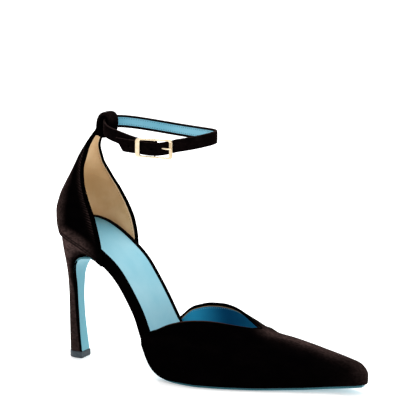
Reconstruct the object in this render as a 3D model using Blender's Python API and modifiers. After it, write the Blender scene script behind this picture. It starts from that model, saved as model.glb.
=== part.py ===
"""Ankle strap pump with open sides, on a slim sculpted heel (right shoe).

X runs from the heel to the toe, Y to the inner (medial) side and Z up. The tables are in
millimetres from a datum just behind the counter, the heel's middle plane and the floor. The
finished shoe is moved so that its origin is under the middle of its box, on the floor.
"""
import math

import bmesh
import bpy
import numpy as np
from mathutils import Matrix, Vector

MM = 0.001

# Driving dimensions, in millimetres
LENGTH = 245.5            # from the back datum to the tip of the toe
HEEL_RISE = 100.0         # rise of the footbed from the tread to the seat
BALL_WIDTH = 68.0         # insole board across the ball
THROAT_HEIGHT = 39.3      # top of the vamp at the point of its V
THROAT_ALONG = 67.8       # percent of the length
GAP = 0.3                 # room between pieces that meet

# Thicknesses, in millimetres
SOCK = 1.0
BOARD_TREAD = 1.8        # the board under the tread, as in the last rows of LAST
OUTSOLE_TREAD = 2.2
OUTSOLE_SHANK = 1.5
BREAST_FLAP = 1.3
VAMP_WALL = 1.6
COUNTER_WALL = 1.8
STRAP_THICK = 1.8
STRAP_WIDTH = 9.4

# Footbed: percent of LENGTH, of HEEL_RISE and of BALL_WIDTH from the middle plane,
# and the thickness of the insole board in millimetres
LAST_COLUMNS = ("along", "rise", "lateral", "medial", "board")
LAST = (
    (3.5, 101.1, 37.6, 37.6, 5.0),     # back of the seat
    (8.9, 98.0, 37.8, 37.8, 5.6),
    (14.6, 91.8, 37.4, 37.8, 6.4),     # front of the seat
    (20.2, 82.4, 36.8, 37.6, 6.5),
    (25.1, 71.3, 33.8, 37.8, 6.2),     # top of the shank
    (29.1, 57.0, 32.2, 38.2, 5.5),     # waist
    (32.8, 41.6, 32.4, 38.6, 5.5),
    (36.4, 24.2, 35.6, 40.2, 6.4),     # foot of the shank
    (40.1, 9.4, 40.4, 42.8, 6.9),
    (44.1, 2.0, 45.4, 46.9, 3.9),
    (48.6, 0.2, 48.8, 49.7, 1.9),      # ball
    (52.6, 0.0, 49.3, 50.9, 1.8),
    (58.7, 0.0, 45.6, 50.4, 1.8),
    (66.8, 0.0, 36.5, 46.8, 1.8),      # front of the tread
    (81.0, 1.0, 15.4, 36.0, 1.8),
    (92.3, 3.0, -0.7, 24.3, 1.8),      # toe
    (100.0, 5.0, -7.4, 17.6, 1.8),
)
SEAT_ROUND = 23.0         # length of the rounded back of the seat
TOE_ROUND = 9.0           # length of the rounded tip of the toe
STATION_STEP = 5.0        # from section to section along the layers
BOARD_TOE = 2.8           # how far the layers stop short of the toe's tip
SOCK_TOE = 3.6
OUTSOLE_TOE = 3.2
SOCK_INSET = 0.5          # sock inside the board's edge, in the vamp
SOCK_MARGIN = 4.4         # and along the shank
SEAT_MARGIN = 4.8         # and around the seat
MARGIN_ENDS = (22.0, 35.5)  # percent of the length, where the margin starts to change
MARGIN_EASE = 4.0         # percent of the length, over which it changes
TOE_FRONT_HEIGHT = 6.0    # upright front of the toe above the sole

# Vamp: crowns in percent of THROAT_HEIGHT, cuts as the share of the quarter arch that is kept
VAMP_COLUMNS = ("along", "crown_lateral", "crown_medial", "cut_lateral", "cut_medial")
VAMP = (
    (34.2, 300.0, 275.0, 0.034, 0.04),   # back corner, on the side of the shank
    (37.6, 285.0, 252.0, 0.132, 0.18),
    (42.1, 265.0, 205.8, 0.206, 0.318),
    (47.8, 221.0, 163.8, 0.31, 0.476),
    (53.4, 181.0, 139.8, 0.43, 0.63),
    (58.7, 146.0, 123.2, 0.57, 0.785),
    (63.2, 121.0, 109.2, 0.71, 0.895),
    (66.4, 106.7, 99.4, 0.84, 0.95),
    (67.8, 97.8, 97.8, 1.0, 1.0),       # point of the V
    (70.2, 90.8, 90.8, 1.0, 1.0),
    (72.9, 87.8, 87.8, 1.0, 1.0),
    (76.0, 84.8, 84.8, 1.0, 1.0),
    (79.4, 80.4, 80.4, 1.0, 1.0),
    (85.4, 72.2, 72.2, 1.0, 1.0),
    (91.5, 64.0, 64.0, 1.0, 1.0),
    (96.4, 56.2, 56.2, 1.0, 1.0),       # start of the rounded tip
    (100.0, 49.0, 49.0, 1.0, 1.0),
)
ARCH_POWER = 2.2          # superellipse of the vamp's sections
VAMP_BULGE = 3.0          # how far the wall stands out over the feather edge

# Counter: one row for each level, from its back point to its front edge, in millimetres
COUNTER_COLUMNS = ("back_x", "back_z", "front_x", "front_z", "sag", "widest", "front_width")
COUNTER = (
    (6.3, 99.6, 52.0, 78.2, 3.4, 26.2, 25.8),    # lower edge
    (4.9, 106.5, 51.4, 90.0, 2.2, 26.7, 25.8),
    (4.6, 114.5, 49.2, 101.5, 1.0, 26.6, 26.0),
    (7.0, 124.5, 45.4, 112.5, 0.3, 25.6, 24.9),
    (12.1, 135.5, 39.4, 124.5, 0.0, 23.2, 23.0),
    (18.5, 147.0, 33.3, 136.5, 0.0, 18.8, 18.8),
    (23.4, 156.5, 29.7, 148.5, 0.0, 12.8, 12.8),
    (27.8, 163.5, 30.2, 158.9, 0.0, 7.6, 7.6),
    (31.8, 168.6, 33.0, 166.2, 0.0, 5.7, 5.7),
    (35.1, 172.4, 36.2, 171.0, 0.0, 5.4, 5.4),   # foot of the loop
)
COUNTER_ROUND = 25.0      # length of the rounded back in each level

# Folded loop on the counter's stem, around the strap
LOOP_CENTRE = (42.2, 177.6)
LOOP_DEPTH = 4.4          # half of the inside, front to back
LOOP_HEIGHT = 7.8         # half of the inside, up and down
LOOP_POWER = 2.3          # superellipse of the loop
LOOP_LEAN = 8.0           # degrees towards the toe
LOOP_START = -18.0        # degrees round the loop from its back
LOOP_END = 292.0
LOOP_WIDTH = 5.3          # half of the strip

# Heel: one row for each level, in millimetres
HEEL_COLUMNS = ("back_x", "back_z", "front_x", "front_z", "sag", "widest", "front_width")
HEEL = (
    (9.1, 5.3, 19.4, 5.3, 0.0, 6.1, 5.9),        # on the top piece
    (8.9, 16.0, 18.1, 16.0, 0.0, 5.9, 5.7),
    (8.9, 32.0, 16.4, 32.0, 0.0, 5.8, 5.5),
    (9.0, 47.0, 15.7, 47.0, 0.0, 6.0, 5.6),
    (9.0, 58.0, 15.5, 58.0, 0.0, 7.0, 6.6),
    (8.9, 68.0, 15.7, 67.5, 0.0, 9.0, 8.4),
    (8.7, 77.5, 17.6, 75.4, 0.0, 12.6, 11.4),
    (8.3, 86.0, 22.4, 80.2, 0.6, 17.4, 14.5),
    (7.2, 93.5, 31.5, 82.8, 2.0, 22.0, 17.0),
    (6.2, 99.0, 46.6, 79.4, 3.3, 25.2, 20.5),    # under the seat
)
HEEL_ROUND = 0.62         # share of a level that is rounded at the back
HEEL_POINTS = 9           # steps from the back to the breast in each level
TOP_PIECE_LIP = 0.4       # how far the top piece stands out around the heel
TOP_PIECE_HEIGHT = 5.0

# Outsole behind the shank: down the breast of the heel, in millimetres
FLAP_COLUMNS = ("x", "z", "half_width")
FLAP = (
    (36.5, 79.7, 16.4),
    (26.6, 78.0, 14.0),
    (20.2, 72.4, 10.4),
    (17.7, 62.0, 7.2),
    (17.6, 47.0, 5.6),
    (18.3, 32.0, 5.4),
    (20.0, 16.0, 5.6),
    (21.3, 5.3, 5.8),
)
OUTSOLE_INSET_TREAD = 0.6     # outsole inside the board's edge
OUTSOLE_INSET_SHANK = 4.0
OUTSOLE_SHANK_END = 21.5      # percent of the length, where the flap takes over
OUTSOLE_SHANK_FRONT = 34.0    # percent of the length, where the shank starts to widen to the tread
OUTSOLE_TREAD_BACK = 50.0     # and where the full tread begins

# Ankle strap: an oval seen from above, in millimetres
RING_CENTRE = (85.4, -0.6)
RING_LONG = 43.6          # half length
RING_WIDE = 25.0          # half width
RING_EGG = 0.22           # narrower towards the heel, as a share
RING_HEIGHT = 173.2
RING_BACK_LIFT = 2.4      # the back is higher than the front
RING_TILT = 3.1           # the inner side is higher than the outer
RING_SADDLE = 2.4         # both ends are higher than the sides
RING_TWIST = -1.2         # outer front and inner back are higher
RING_LIFT = 2.7           # the outer side is higher between the loop and the buckle
LIFT_ANGLE = 243.0        # where it is highest, in degrees round the oval from its front
LIFT_SPREAD = 28.6
BUCKLE_ANGLE = 285.2      # the buckle's bar
TAIL_ANGLE = 245.4        # end of the free tail
TAIL_SLANT = 4.1          # how far the tail's upper corner reaches past its middle
RAMP_ANGLES = (300.2, 289.2)  # where the strap climbs from under the frame to over the bar
# How far the strap hangs below the oval, by the angle, through the buckle and along the tail
TAIL_DROPS = ((245.4, 4.0), (268.0, 1.5), (288.0, 1.5), (299.0, 1.0), (308.0, 0.0))

# Buckle, in millimetres
FRAME_LONG = 28.0
FRAME_HIGH = (13.4, 14.0) # at its back and its front
FRAME_BACK_BAR = 3.4      # widths of its bars and of the rails between them
FRAME_FRONT_BAR = 2.4
FRAME_RAIL = 1.3
FRAME_DROP = (2.2, 1.4)   # how far its front and its back hang below the strap's middle
FRAME_THICK = 1.6
FRAME_CORNER = 2.2
FRAME_CLEAR = 0.8         # from the curved strap to the flat bars
BAR_RADIUS = 0.6
BAR_BEND = 1.2            # radius of the bends at both ends of the bar
BAR_CLEAR = 2.0           # degrees from the bar to the strap's sewn end
PRONG_RADIUS = 0.65
PRONG_ROOT_ANGLE = 287.6
PRONG_DROP = 0.6          # its root below the oval


def table_curve(rows, columns, key, column):
    """Smooth curve through one column of a table, with no overshoot between its rows."""
    xs = np.array([row[columns.index(key)] for row in rows]) if key else np.arange(len(rows))
    ys = np.array([row[columns.index(column)] for row in rows])
    order = np.argsort(xs)
    xs, ys = xs[order].astype(float), ys[order].astype(float)
    step = np.diff(ys) / np.diff(xs)
    slope = np.zeros_like(ys)
    slope[0], slope[-1] = step[0], step[-1]
    for i in range(1, len(xs) - 1):
        if step[i - 1] * step[i] > 0:
            before, after = xs[i] - xs[i - 1], xs[i + 1] - xs[i]
            w1, w2 = 2 * after + before, after + 2 * before
            slope[i] = (w1 + w2) / (w1 / step[i - 1] + w2 / step[i])

    def value(x):
        x = min(max(x, xs[0]), xs[-1])
        i = min(max(int(np.searchsorted(xs, x)) - 1, 0), len(xs) - 2)
        h = xs[i + 1] - xs[i]
        t = (x - xs[i]) / h
        rise = (2 * t**3 - 3 * t**2 + 1) * ys[i] + (3 * t**2 - 2 * t**3) * ys[i + 1]
        return rise + h * ((t**3 - 2 * t**2 + t) * slope[i] + (t**3 - t**2) * slope[i + 1])

    return value


def blend(a, b, t):
    return a + (b - a) * t


def ease(t):
    t = min(max(t, 0.0), 1.0)
    return t * t * (3 - 2 * t)


def rounded_power(share, power):
    """Sine or cosine turned into a coordinate of a superellipse."""
    return math.copysign(abs(share) ** (2 / power), share)


class Last:
    """Footbed line, its edges and the layers under it."""

    def __init__(self):
        self.rise = table_curve(LAST, LAST_COLUMNS, "along", "rise")
        self.lateral = table_curve(LAST, LAST_COLUMNS, "along", "lateral")
        self.medial = table_curve(LAST, LAST_COLUMNS, "along", "medial")
        self.board = table_curve(LAST, LAST_COLUMNS, "along", "board")
        self.back = LAST[0][0] / 100 * LENGTH
        self.tread_height = OUTSOLE_TREAD + BOARD_TREAD + SOCK + 2 * GAP
        stations = np.linspace(self.back, LENGTH, 400)
        self.lower_line = np.array([self.under(x, self.board_bottom(x)) for x in stations])
        self.stations = stations

    def bed(self, x):
        return self.tread_height + self.rise(100 * x / LENGTH) / 100 * HEEL_RISE

    def normal(self, x):
        slope = self.bed(x + 0.5) - self.bed(x - 0.5)
        if x > LENGTH - 1:
            slope = self.bed(x) - self.bed(x - 1.0)
        length = math.hypot(slope, 1.0)
        return -slope / length, 1.0 / length

    def under(self, x, depth):
        """Point at a depth under the footbed, square to it, as (x, z)."""
        nx, nz = self.normal(x)
        return x - depth * nx, self.bed(x) - depth * nz

    def board_bottom(self, x):
        return SOCK + GAP + self.board(100 * x / LENGTH)

    def middle(self, x):
        share = 100 * x / LENGTH
        return (self.medial(share) - self.lateral(share)) / 200 * BALL_WIDTH

    def half_width(self, x):
        """Half width of the insole board, rounded at the seat and the toe."""
        share = 100 * x / LENGTH
        half = (self.medial(share) + self.lateral(share)) / 200 * BALL_WIDTH
        return half * self.end_round(x)

    def end_round(self, x):
        seat = max(0.0, (self.back + SEAT_ROUND - x) / SEAT_ROUND)
        return math.sqrt(max(0.0, 1 - seat * seat)) * self.toe_round(x)

    def toe_round(self, x):
        tip = max(0.0, (x - (LENGTH - TOE_ROUND)) / TOE_ROUND)
        return math.sqrt(max(0.0, 1 - tip * tip))

    def station_of(self, x):
        """Station of the footbed whose lower edge of the board lies at this x."""
        return float(np.interp(x, self.lower_line[:, 0], self.stations))

    def lower_edge(self, x):
        """Height of the board's lower edge at this x."""
        return float(np.interp(x, self.lower_line[:, 0], self.lower_line[:, 1]))


def material(name, colour, roughness, metallic=0.0):
    mat = bpy.data.materials.new(name)
    mat.use_nodes = True
    shader = mat.node_tree.nodes["Principled BSDF"]
    shader.inputs["Base Color"].default_value = (*colour, 1.0)
    shader.inputs["Roughness"].default_value = roughness
    shader.inputs["Metallic"].default_value = metallic
    mat.diffuse_color = (*colour, 1.0)
    return mat


def add_object(name, data, mat, collection, root):
    obj = bpy.data.objects.new(name, data)
    collection.objects.link(obj)
    data.materials.append(mat)
    obj.parent = root
    return obj


def mesh_from(bm, name):
    bmesh.ops.recalc_face_normals(bm, faces=bm.faces)
    mesh = bpy.data.meshes.new(name)
    bm.to_mesh(mesh)
    bm.free()
    mesh.shade_smooth()
    mesh.set_sharp_from_angle(angle=math.radians(40))
    return mesh


def grid(bm, across, along, surface):
    """Grid of faces whose corners are moved to surface(u, v), with u and v from 0 to 1."""
    made = bmesh.ops.create_grid(bm, x_segments=across, y_segments=along, size=1.0)
    for vert in made["verts"]:
        u, v = (vert.co.x + 1) / 2, (vert.co.y + 1) / 2
        vert.co = Vector(surface(u, v)) * MM


def loft(bm, rings, cap_pairs):
    """Skin over closed rings of points, with both ends closed by strips between paired points."""
    rows = [[bm.verts.new(Vector(p) * MM) for p in ring] for ring in rings]
    count = len(rows[0])
    for lower, upper in zip(rows, rows[1:]):
        for i in range(count):
            j = (i + 1) % count
            bm.faces.new((lower[i], lower[j], upper[j], upper[i]))
    for row in (rows[0], rows[-1]):
        for a, b in zip(cap_pairs, cap_pairs[1:]):
            corners = [row[i] for i in (a[0], b[0], b[1], a[1])]
            bm.faces.new(list(dict.fromkeys(corners)))


def slab_ring(left, right, top, bottom, edge):
    """Section of a flat layer across the shoe, with slightly rounded edges.

    left and right are Y, top and bottom are (x, z) points on the layer's two faces.
    """
    def at(share):
        return blend(top[0], bottom[0], share), blend(top[1], bottom[1], share)

    points = []
    for y, turn, order in ((left, edge, 1), (right, -edge, -1)):
        side = [(y + turn, 0.0), (y, 0.25), (y, 0.75), (y + turn, 1.0)]
        for across, share in side[::order]:
            x, z = at(share)
            points.append((x, across, z))
    return points


SLAB_CAPS = ((0, 7), (1, 6), (2, 5), (3, 4))


def rounded_stations(start, end):
    """Stations along a layer, closer together at its rounded ends and elsewhere shared by all."""
    back = [start + SEAT_ROUND * (1 - math.cos(math.radians(a))) for a in (14, 26, 40, 54, 68)]
    front = [end - TOE_ROUND * (1 - math.cos(math.radians(a))) for a in (66, 48, 30, 14)]
    inner = np.arange(start + SEAT_ROUND, end - TOE_ROUND, STATION_STEP)
    shared = [STATION_STEP * math.ceil(x / STATION_STEP) for x in inner]
    return back + [x for x in shared if x < front[0] - STATION_STEP / 2] + front


def layer(name, last, stations, inset, top_depth, bottom_depth, edge):
    bm = bmesh.new()
    rings = []
    for x in stations:
        half = max(last.half_width(x) - inset(x), 1.2)
        middle = last.middle(x)
        top = last.under(x, top_depth(x))
        bottom = last.under(x, bottom_depth(x))
        rings.append(slab_ring(middle - half, middle + half, top, bottom, edge))
    loft(bm, rings, SLAB_CAPS)
    return mesh_from(bm, name)


def sock_margin(x):
    """Width of the board's velvet that shows beside the sock."""
    share = 100 * x / LENGTH
    seat_end, shank_end = MARGIN_ENDS
    shank = blend(SEAT_MARGIN, SOCK_MARGIN, ease((share - seat_end) / MARGIN_EASE))
    return blend(shank, SOCK_INSET, ease((share - shank_end) / MARGIN_EASE))


def add_wall(obj, thickness):
    solidify = obj.modifiers.new("wall", "SOLIDIFY")
    solidify.thickness = thickness * MM
    solidify.offset = -1.0
    solidify.use_even_offset = True


def insole_board(last):
    stations = rounded_stations(last.back, LENGTH - BOARD_TOE)
    return layer("insole_board", last, stations, lambda x: 0.0,
                 lambda x: SOCK + GAP, last.board_bottom, 0.5)


def insole_sock(last):
    stations = rounded_stations(last.back + SEAT_MARGIN, LENGTH - SOCK_TOE)
    return layer("insole_sock", last, stations, sock_margin, lambda x: 0.0, lambda x: SOCK, 0.2)


def outsole(last):
    """Leather sole from the toe, up the shank and down the breast of the heel."""
    bm = bmesh.new()
    rings = []
    shank_end = OUTSOLE_SHANK_END / 100 * LENGTH
    stations = [x for x in rounded_stations(last.back, LENGTH - OUTSOLE_TOE) if x > shank_end]
    for x in reversed(stations):
        widen = OUTSOLE_TREAD_BACK - OUTSOLE_SHANK_FRONT
        shank = 1 - ease((100 * x / LENGTH - OUTSOLE_SHANK_FRONT) / widen)
        half = max(last.half_width(x) - blend(OUTSOLE_INSET_TREAD, OUTSOLE_INSET_SHANK, shank), 1.2)
        upper = last.board_bottom(x) + GAP
        top = last.under(x, upper)
        bottom = last.under(x, upper + blend(OUTSOLE_TREAD, OUTSOLE_SHANK, shank))
        middle = last.middle(x)
        rings.append(slab_ring(middle - half, middle + half, top, bottom, 0.3))
    rings += flap_rings()
    loft(bm, rings, SLAB_CAPS)
    return mesh_from(bm, "outsole")


def flap_rings():
    """Sections of the flap, square to its path down the breast."""
    curves = [table_curve(FLAP, FLAP_COLUMNS, None, column) for column in FLAP_COLUMNS]
    last_row = len(FLAP) - 1
    rings = []
    for row in np.linspace(0, last_row, 3 * last_row + 1):
        x, z, half = (curve(row) for curve in curves)
        ahead = [curve(min(row + 0.05, last_row)) for curve in curves]
        behind = [curve(max(row - 0.05, 0)) for curve in curves]
        tx, tz = ahead[0] - behind[0], ahead[1] - behind[1]
        length = math.hypot(tx, tz)
        inward = (tz / length, -tx / length)
        thick = blend(OUTSOLE_SHANK, BREAST_FLAP, row / last_row)
        top = (x + thick * inward[0], z + thick * inward[1])
        rings.append(slab_ring(-half, half, top, (x, z), 0.2))
    return rings


def vamp(last):
    """Hollow front of the upper: two half walls that join along the ridge before the throat."""
    throat = THROAT_ALONG / 100 * LENGTH
    back = VAMP[0][0] / 100 * LENGTH
    behind_rows, total_rows, across = 13, 30, 10
    names = ("crown_lateral", "crown_medial", "cut_lateral", "cut_medial")
    curves = {name: table_curve(VAMP, VAMP_COLUMNS, "along", name) for name in names}

    def along(v):
        split = behind_rows / total_rows
        if v <= split:
            return blend(back, throat, v / split)
        return throat + (LENGTH - throat) * math.sin((v - split) / (1 - split) * math.pi / 2)

    def point(side, u, v):
        x = along(v)
        share = 100 * x / LENGTH
        name = "lateral" if side < 0 else "medial"
        crown, cut = curves["crown_" + name](share), curves["cut_" + name](share)
        if x > throat - 0.01:
            crown, cut = (curves["crown_lateral"](share) + curves["crown_medial"](share)) / 2, 1.0
        crown *= THROAT_HEIGHT / 100
        foot = last.lower_edge(x)
        round_tip = last.toe_round(x)
        if round_tip < 1.0:
            front = foot + TOE_FRONT_HEIGHT
            crown = front + (crown - front) * round_tip
        station = last.station_of(x)
        half = last.half_width(station) + (GAP + VAMP_WALL) * min(1.0, 2 * round_tip)
        if x > LENGTH - 0.01:
            half = 0.0
        angle = u * cut * math.pi / 2
        reach = half * rounded_power(math.cos(angle), ARCH_POWER)
        reach += VAMP_BULGE * math.sin(2 * angle) * round_tip
        height = (crown - foot) * rounded_power(math.sin(angle), ARCH_POWER)
        if angle > math.pi / 2 - 1e-6:
            reach = 0.0
        return x, last.middle(x) + side * reach, foot + height

    bm = bmesh.new()
    for side in (-1, 1):
        grid(bm, across, total_rows, lambda u, v, side=side: point(side, u, v))
    bmesh.ops.remove_doubles(bm, verts=bm.verts, dist=1e-6)
    return mesh_from(bm, "vamp")


def level_point(level, side, u, round_length):
    """Point on one level of a wall: u is 0 at its back and 1 at its front edge."""
    back = np.array((level["back_x"], level["back_z"]))
    front = np.array((level["front_x"], level["front_z"]))
    length = np.linalg.norm(front - back)
    turn = min(round_length / length, 1.0)
    arc = 0.5 * math.pi * 0.5 * (turn * length + level["widest"])
    split = arc / (arc + (1 - turn) * length)
    if u <= split:
        angle = 0.5 * math.pi * u / split
        t = turn * (1 - math.cos(angle))
        reach = level["widest"] * math.sin(angle)
    else:
        straight = (u - split) / (1 - split)
        t = blend(turn, 1.0, straight)
        reach = blend(level["widest"], level["front_width"], ease(straight))
    x, z = back + (front - back) * t
    return x, side * reach, z + level["sag"] * 4 * t * (1 - t)


def counter_levels():
    """Levels of the counter from its lower edge up the stem and round the folded loop."""
    curves = {name: table_curve(COUNTER, COUNTER_COLUMNS, None, name) for name in COUNTER_COLUMNS}
    last_row = len(COUNTER) - 1
    rows = [{name: curve(row) for name, curve in curves.items()}
            for row in np.linspace(0, last_row, 2 * last_row + 1)]
    lean = math.radians(LOOP_LEAN)
    for degrees in np.linspace(LOOP_START, LOOP_END, 16):
        angle = math.radians(degrees)
        away = -LOOP_DEPTH * rounded_power(math.cos(angle), LOOP_POWER)
        up = LOOP_HEIGHT * rounded_power(math.sin(angle), LOOP_POWER)
        x = LOOP_CENTRE[0] + away * math.cos(lean) + up * math.sin(lean)
        z = LOOP_CENTRE[1] - away * math.sin(lean) + up * math.cos(lean)
        inward = (0.3 * math.cos(angle), -0.3 * math.sin(angle))
        rows.append(dict(back_x=x, back_z=z, front_x=x + inward[0], front_z=z + inward[1],
                         sag=0.0, widest=LOOP_WIDTH, front_width=LOOP_WIDTH))
    return rows


def counter():
    rows = counter_levels()

    def point(u, v):
        level = rows[round(v * (len(rows) - 1))]
        side = -1 if u < 0.5 else 1
        return level_point(level, side, abs(2 * u - 1), COUNTER_ROUND)

    bm = bmesh.new()
    grid(bm, 20, len(rows) - 1, point)
    return mesh_from(bm, "counter")


def heel_ring(level, lip=0.0):
    """Section of the heel: rounded behind, flat at the breast."""
    length = math.hypot(level["front_x"] - level["back_x"], level["front_z"] - level["back_z"])
    middle_x = (level["back_x"] + level["front_x"]) / 2
    ring = []
    for i in range(HEEL_POINTS + 1):
        x, y, z = level_point(level, 1, i / HEEL_POINTS, HEEL_ROUND * length)
        ring.append((x + math.copysign(lip, x - middle_x), y + (lip if y > 0 else 0.0), z))
    mirrored = [(x, -y, z) for x, y, z in ring[:0:-1]]
    return ring + mirrored


HEEL_CAPS = [(0, 0)] + [(i, 2 * HEEL_POINTS + 1 - i) for i in range(1, HEEL_POINTS + 1)]


def heel():
    curves = {name: table_curve(HEEL, HEEL_COLUMNS, None, name) for name in HEEL_COLUMNS}
    last_row = len(HEEL) - 1
    bm = bmesh.new()
    rings = []
    for row in np.linspace(0, last_row, 2 * last_row + 1):
        rings.append(heel_ring({name: curve(row) for name, curve in curves.items()}))
    loft(bm, rings, HEEL_CAPS)
    return mesh_from(bm, "heel")


def top_piece():
    """Wear piece under the heel and the flap, flat on the floor."""
    lowest = dict(zip(HEEL_COLUMNS, HEEL[0]))
    lowest["front_x"] = FLAP[-1][0]
    bm = bmesh.new()
    rings = []
    for height, lip in ((0.0, 0.0), (0.8, TOP_PIECE_LIP), (TOP_PIECE_HEIGHT, TOP_PIECE_LIP)):
        level = dict(lowest, back_z=height, front_z=height)
        rings.append(heel_ring(level, lip))
    loft(bm, rings, HEEL_CAPS)
    return mesh_from(bm, "top_piece")


def ring_point(degrees, out=0.0):
    """Middle of the strap at an angle round the ankle, moved outwards by out, and its normal."""
    a = math.radians(degrees)
    x = RING_CENTRE[0] + RING_LONG * math.cos(a)
    y = RING_CENTRE[1] + RING_WIDE * math.sin(a) * (1 + RING_EGG * math.cos(a))
    z = RING_HEIGHT - RING_BACK_LIFT * math.cos(a) + RING_TILT * math.sin(a)
    z += RING_SADDLE * math.cos(2 * a) + RING_TWIST * math.sin(2 * a)
    z += RING_LIFT * math.exp(-((degrees % 360 - LIFT_ANGLE) / LIFT_SPREAD) ** 2)
    across = RING_WIDE * (math.cos(a) + RING_EGG * math.cos(2 * a))
    normal = Vector((across, RING_LONG * math.sin(a), 0.0)).normalized()
    return Vector((x, y, z)) + normal * out, normal


def strap_path():
    """Rows of (angle, step outwards, drop) from the buckle's bar round the ankle to the free tail."""
    over = STRAP_THICK + GAP
    ramp_start, ramp_end = RAMP_ANGLES
    start = BUCKLE_ANGLE - BAR_CLEAR
    rows = []
    for degrees in np.linspace(start + 360.0, ramp_start, 58):
        rows.append((degrees, 0.0, tail_drop(degrees)))
    for degrees in np.linspace(ramp_start, ramp_end, 6)[1:]:
        climb = ease((ramp_start - degrees) / (ramp_start - ramp_end))
        rows.append((degrees, over * climb, tail_drop(degrees)))
    for degrees in np.linspace(ramp_end, TAIL_ANGLE, 12)[1:]:
        rows.append((degrees, over, tail_drop(degrees)))
    return rows


def tail_drop(degrees):
    angles, drops = zip(*TAIL_DROPS)
    return float(np.interp(degrees, angles, drops))


def ankle_strap():
    bm = bmesh.new()
    rings = []
    path = strap_path()
    half = STRAP_WIDTH / 2
    before = None
    for row, (degrees, out, drop) in enumerate(path):
        point, normal = ring_point(degrees, out)
        point.z -= drop
        along = (point - before).normalized() if before is not None else Vector()
        before = point
        slant = TAIL_SLANT if row == len(path) - 1 else 0.0
        ring = []
        for side, face in ((-1, -0.5), (-1, 0.5), (1, 0.5), (1, -0.5)):
            corner = point + normal * (STRAP_THICK * face) + Vector((0, 0, half * side))
            ring.append(tuple(corner + along * (slant * side)))
        rings.append(ring)
    loft(bm, rings, ((0, 3), (1, 2)))
    return mesh_from(bm, "ankle_strap")


def frame_offsets():
    """How far the middle of the frame's front and back bars stands out from the strap's middle."""
    front = STRAP_THICK / 2 + FRAME_CLEAR + FRAME_THICK / 2
    return front, front + STRAP_THICK + GAP


def frame_ends():
    """Angles of the frame's front and back bars round the oval."""
    half = (FRAME_LONG - FRAME_FRONT_BAR) / 2
    middle, _ = ring_point(BUCKLE_ANGLE)
    ends = []
    for step in (0.25, -0.25):
        degrees = BUCKLE_ANGLE
        while (ring_point(degrees)[0] - middle).length < half:
            degrees += step
        ends.append(degrees)
    return ends


def frame_matrix():
    """Place of the frame: X towards its front bar, Y up along its bars, Z outwards."""
    points = []
    for degrees, out, drop in zip(frame_ends(), frame_offsets(), FRAME_DROP):
        points.append(ring_point(degrees, out)[0] - Vector((0.0, 0.0, drop)))
    front, back = points
    axis_x = (front - back).normalized()
    axis_z = Vector((axis_x.y, -axis_x.x, 0.0)).normalized()
    axis_y = axis_z.cross(axis_x)
    matrix = Matrix((axis_x, axis_y, axis_z)).transposed().to_4x4()
    matrix.translation = (front + back) / 2
    return matrix


def frame_height(x):
    return blend(*FRAME_HIGH, x / FRAME_LONG + 0.5)


def frame_ring(back, front, rail, radius):
    """Rounded outline from its back to its front, inside the frame's rails by rail."""
    points = []
    for corner, (x, sx, sy) in enumerate(((front, 1, 1), (back, -1, 1), (back, -1, -1), (front, 1, -1))):
        for step in range(5):
            angle = math.radians(90 * corner + 22.5 * step)
            along = x - sx * radius + radius * math.cos(angle)
            up = sy * (frame_height(x) / 2 - rail - radius) + radius * math.sin(angle)
            points.append((along, up, 0.0))
    return points


def add_spline(curve, points, cyclic):
    spline = curve.splines.new("POLY")
    spline.points.add(len(points) - 1)
    for target, point in zip(spline.points, points):
        target.co = (*(Vector(point) * MM), 1.0)
    spline.use_cyclic_u = cyclic


def curve_to_mesh(curve, name):
    """Closed mesh of a curve, with its caps welded."""
    obj = bpy.data.objects.new(name, curve)
    bpy.context.scene.collection.objects.link(obj)
    evaluated = obj.evaluated_get(bpy.context.evaluated_depsgraph_get())
    mesh = bpy.data.meshes.new_from_object(evaluated)
    bpy.data.objects.remove(obj)
    bm = bmesh.new()
    bm.from_mesh(mesh)
    bmesh.ops.remove_doubles(bm, verts=bm.verts, dist=1e-6)
    bpy.data.meshes.remove(mesh)
    return mesh_from(bm, name)


def tube(name, points, radius):
    curve = bpy.data.curves.new(name, "CURVE")
    curve.dimensions = "3D"
    curve.bevel_depth = radius * MM
    curve.bevel_resolution = 2
    curve.use_fill_caps = True
    add_spline(curve, points, False)
    return curve_to_mesh(curve, name)


def buckle_outline():
    """Flat rectangular frame with one window."""
    curve = bpy.data.curves.new("buckle_outline", "CURVE")
    curve.dimensions = "2D"
    curve.fill_mode = "BOTH"
    curve.extrude = FRAME_THICK / 2 * MM
    back, front = -FRAME_LONG / 2, FRAME_LONG / 2
    add_spline(curve, frame_ring(back, front, 0.0, FRAME_CORNER), True)
    window = frame_ring(back + FRAME_BACK_BAR, front - FRAME_FRONT_BAR, FRAME_RAIL, FRAME_CORNER / 2)
    add_spline(curve, window, True)
    mesh = curve_to_mesh(curve, "buckle_frame")
    matrix = frame_matrix()
    matrix.translation *= MM
    mesh.transform(matrix)
    return mesh


def buckle_bar():
    """Bar across the frame, bent towards the ankle so that the tail passes over it."""
    matrix = frame_matrix()
    middle, _ = ring_point(BUCKLE_ANGLE)
    low = (matrix.inverted() @ middle).z
    reach = (frame_height(0.0) - FRAME_RAIL) / 2
    half = [(reach, 0.0)]
    for degrees in range(0, 91, 18):
        a = math.radians(degrees)
        half.append((reach - BAR_BEND * (1 - math.cos(a)), low + BAR_BEND * (1 - math.sin(a))))
    line = [(-y, z) for y, z in half] + half[::-1]
    return tube("buckle_bar", [matrix @ Vector((0.0, y, z)) for y, z in line], BAR_RADIUS)


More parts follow.
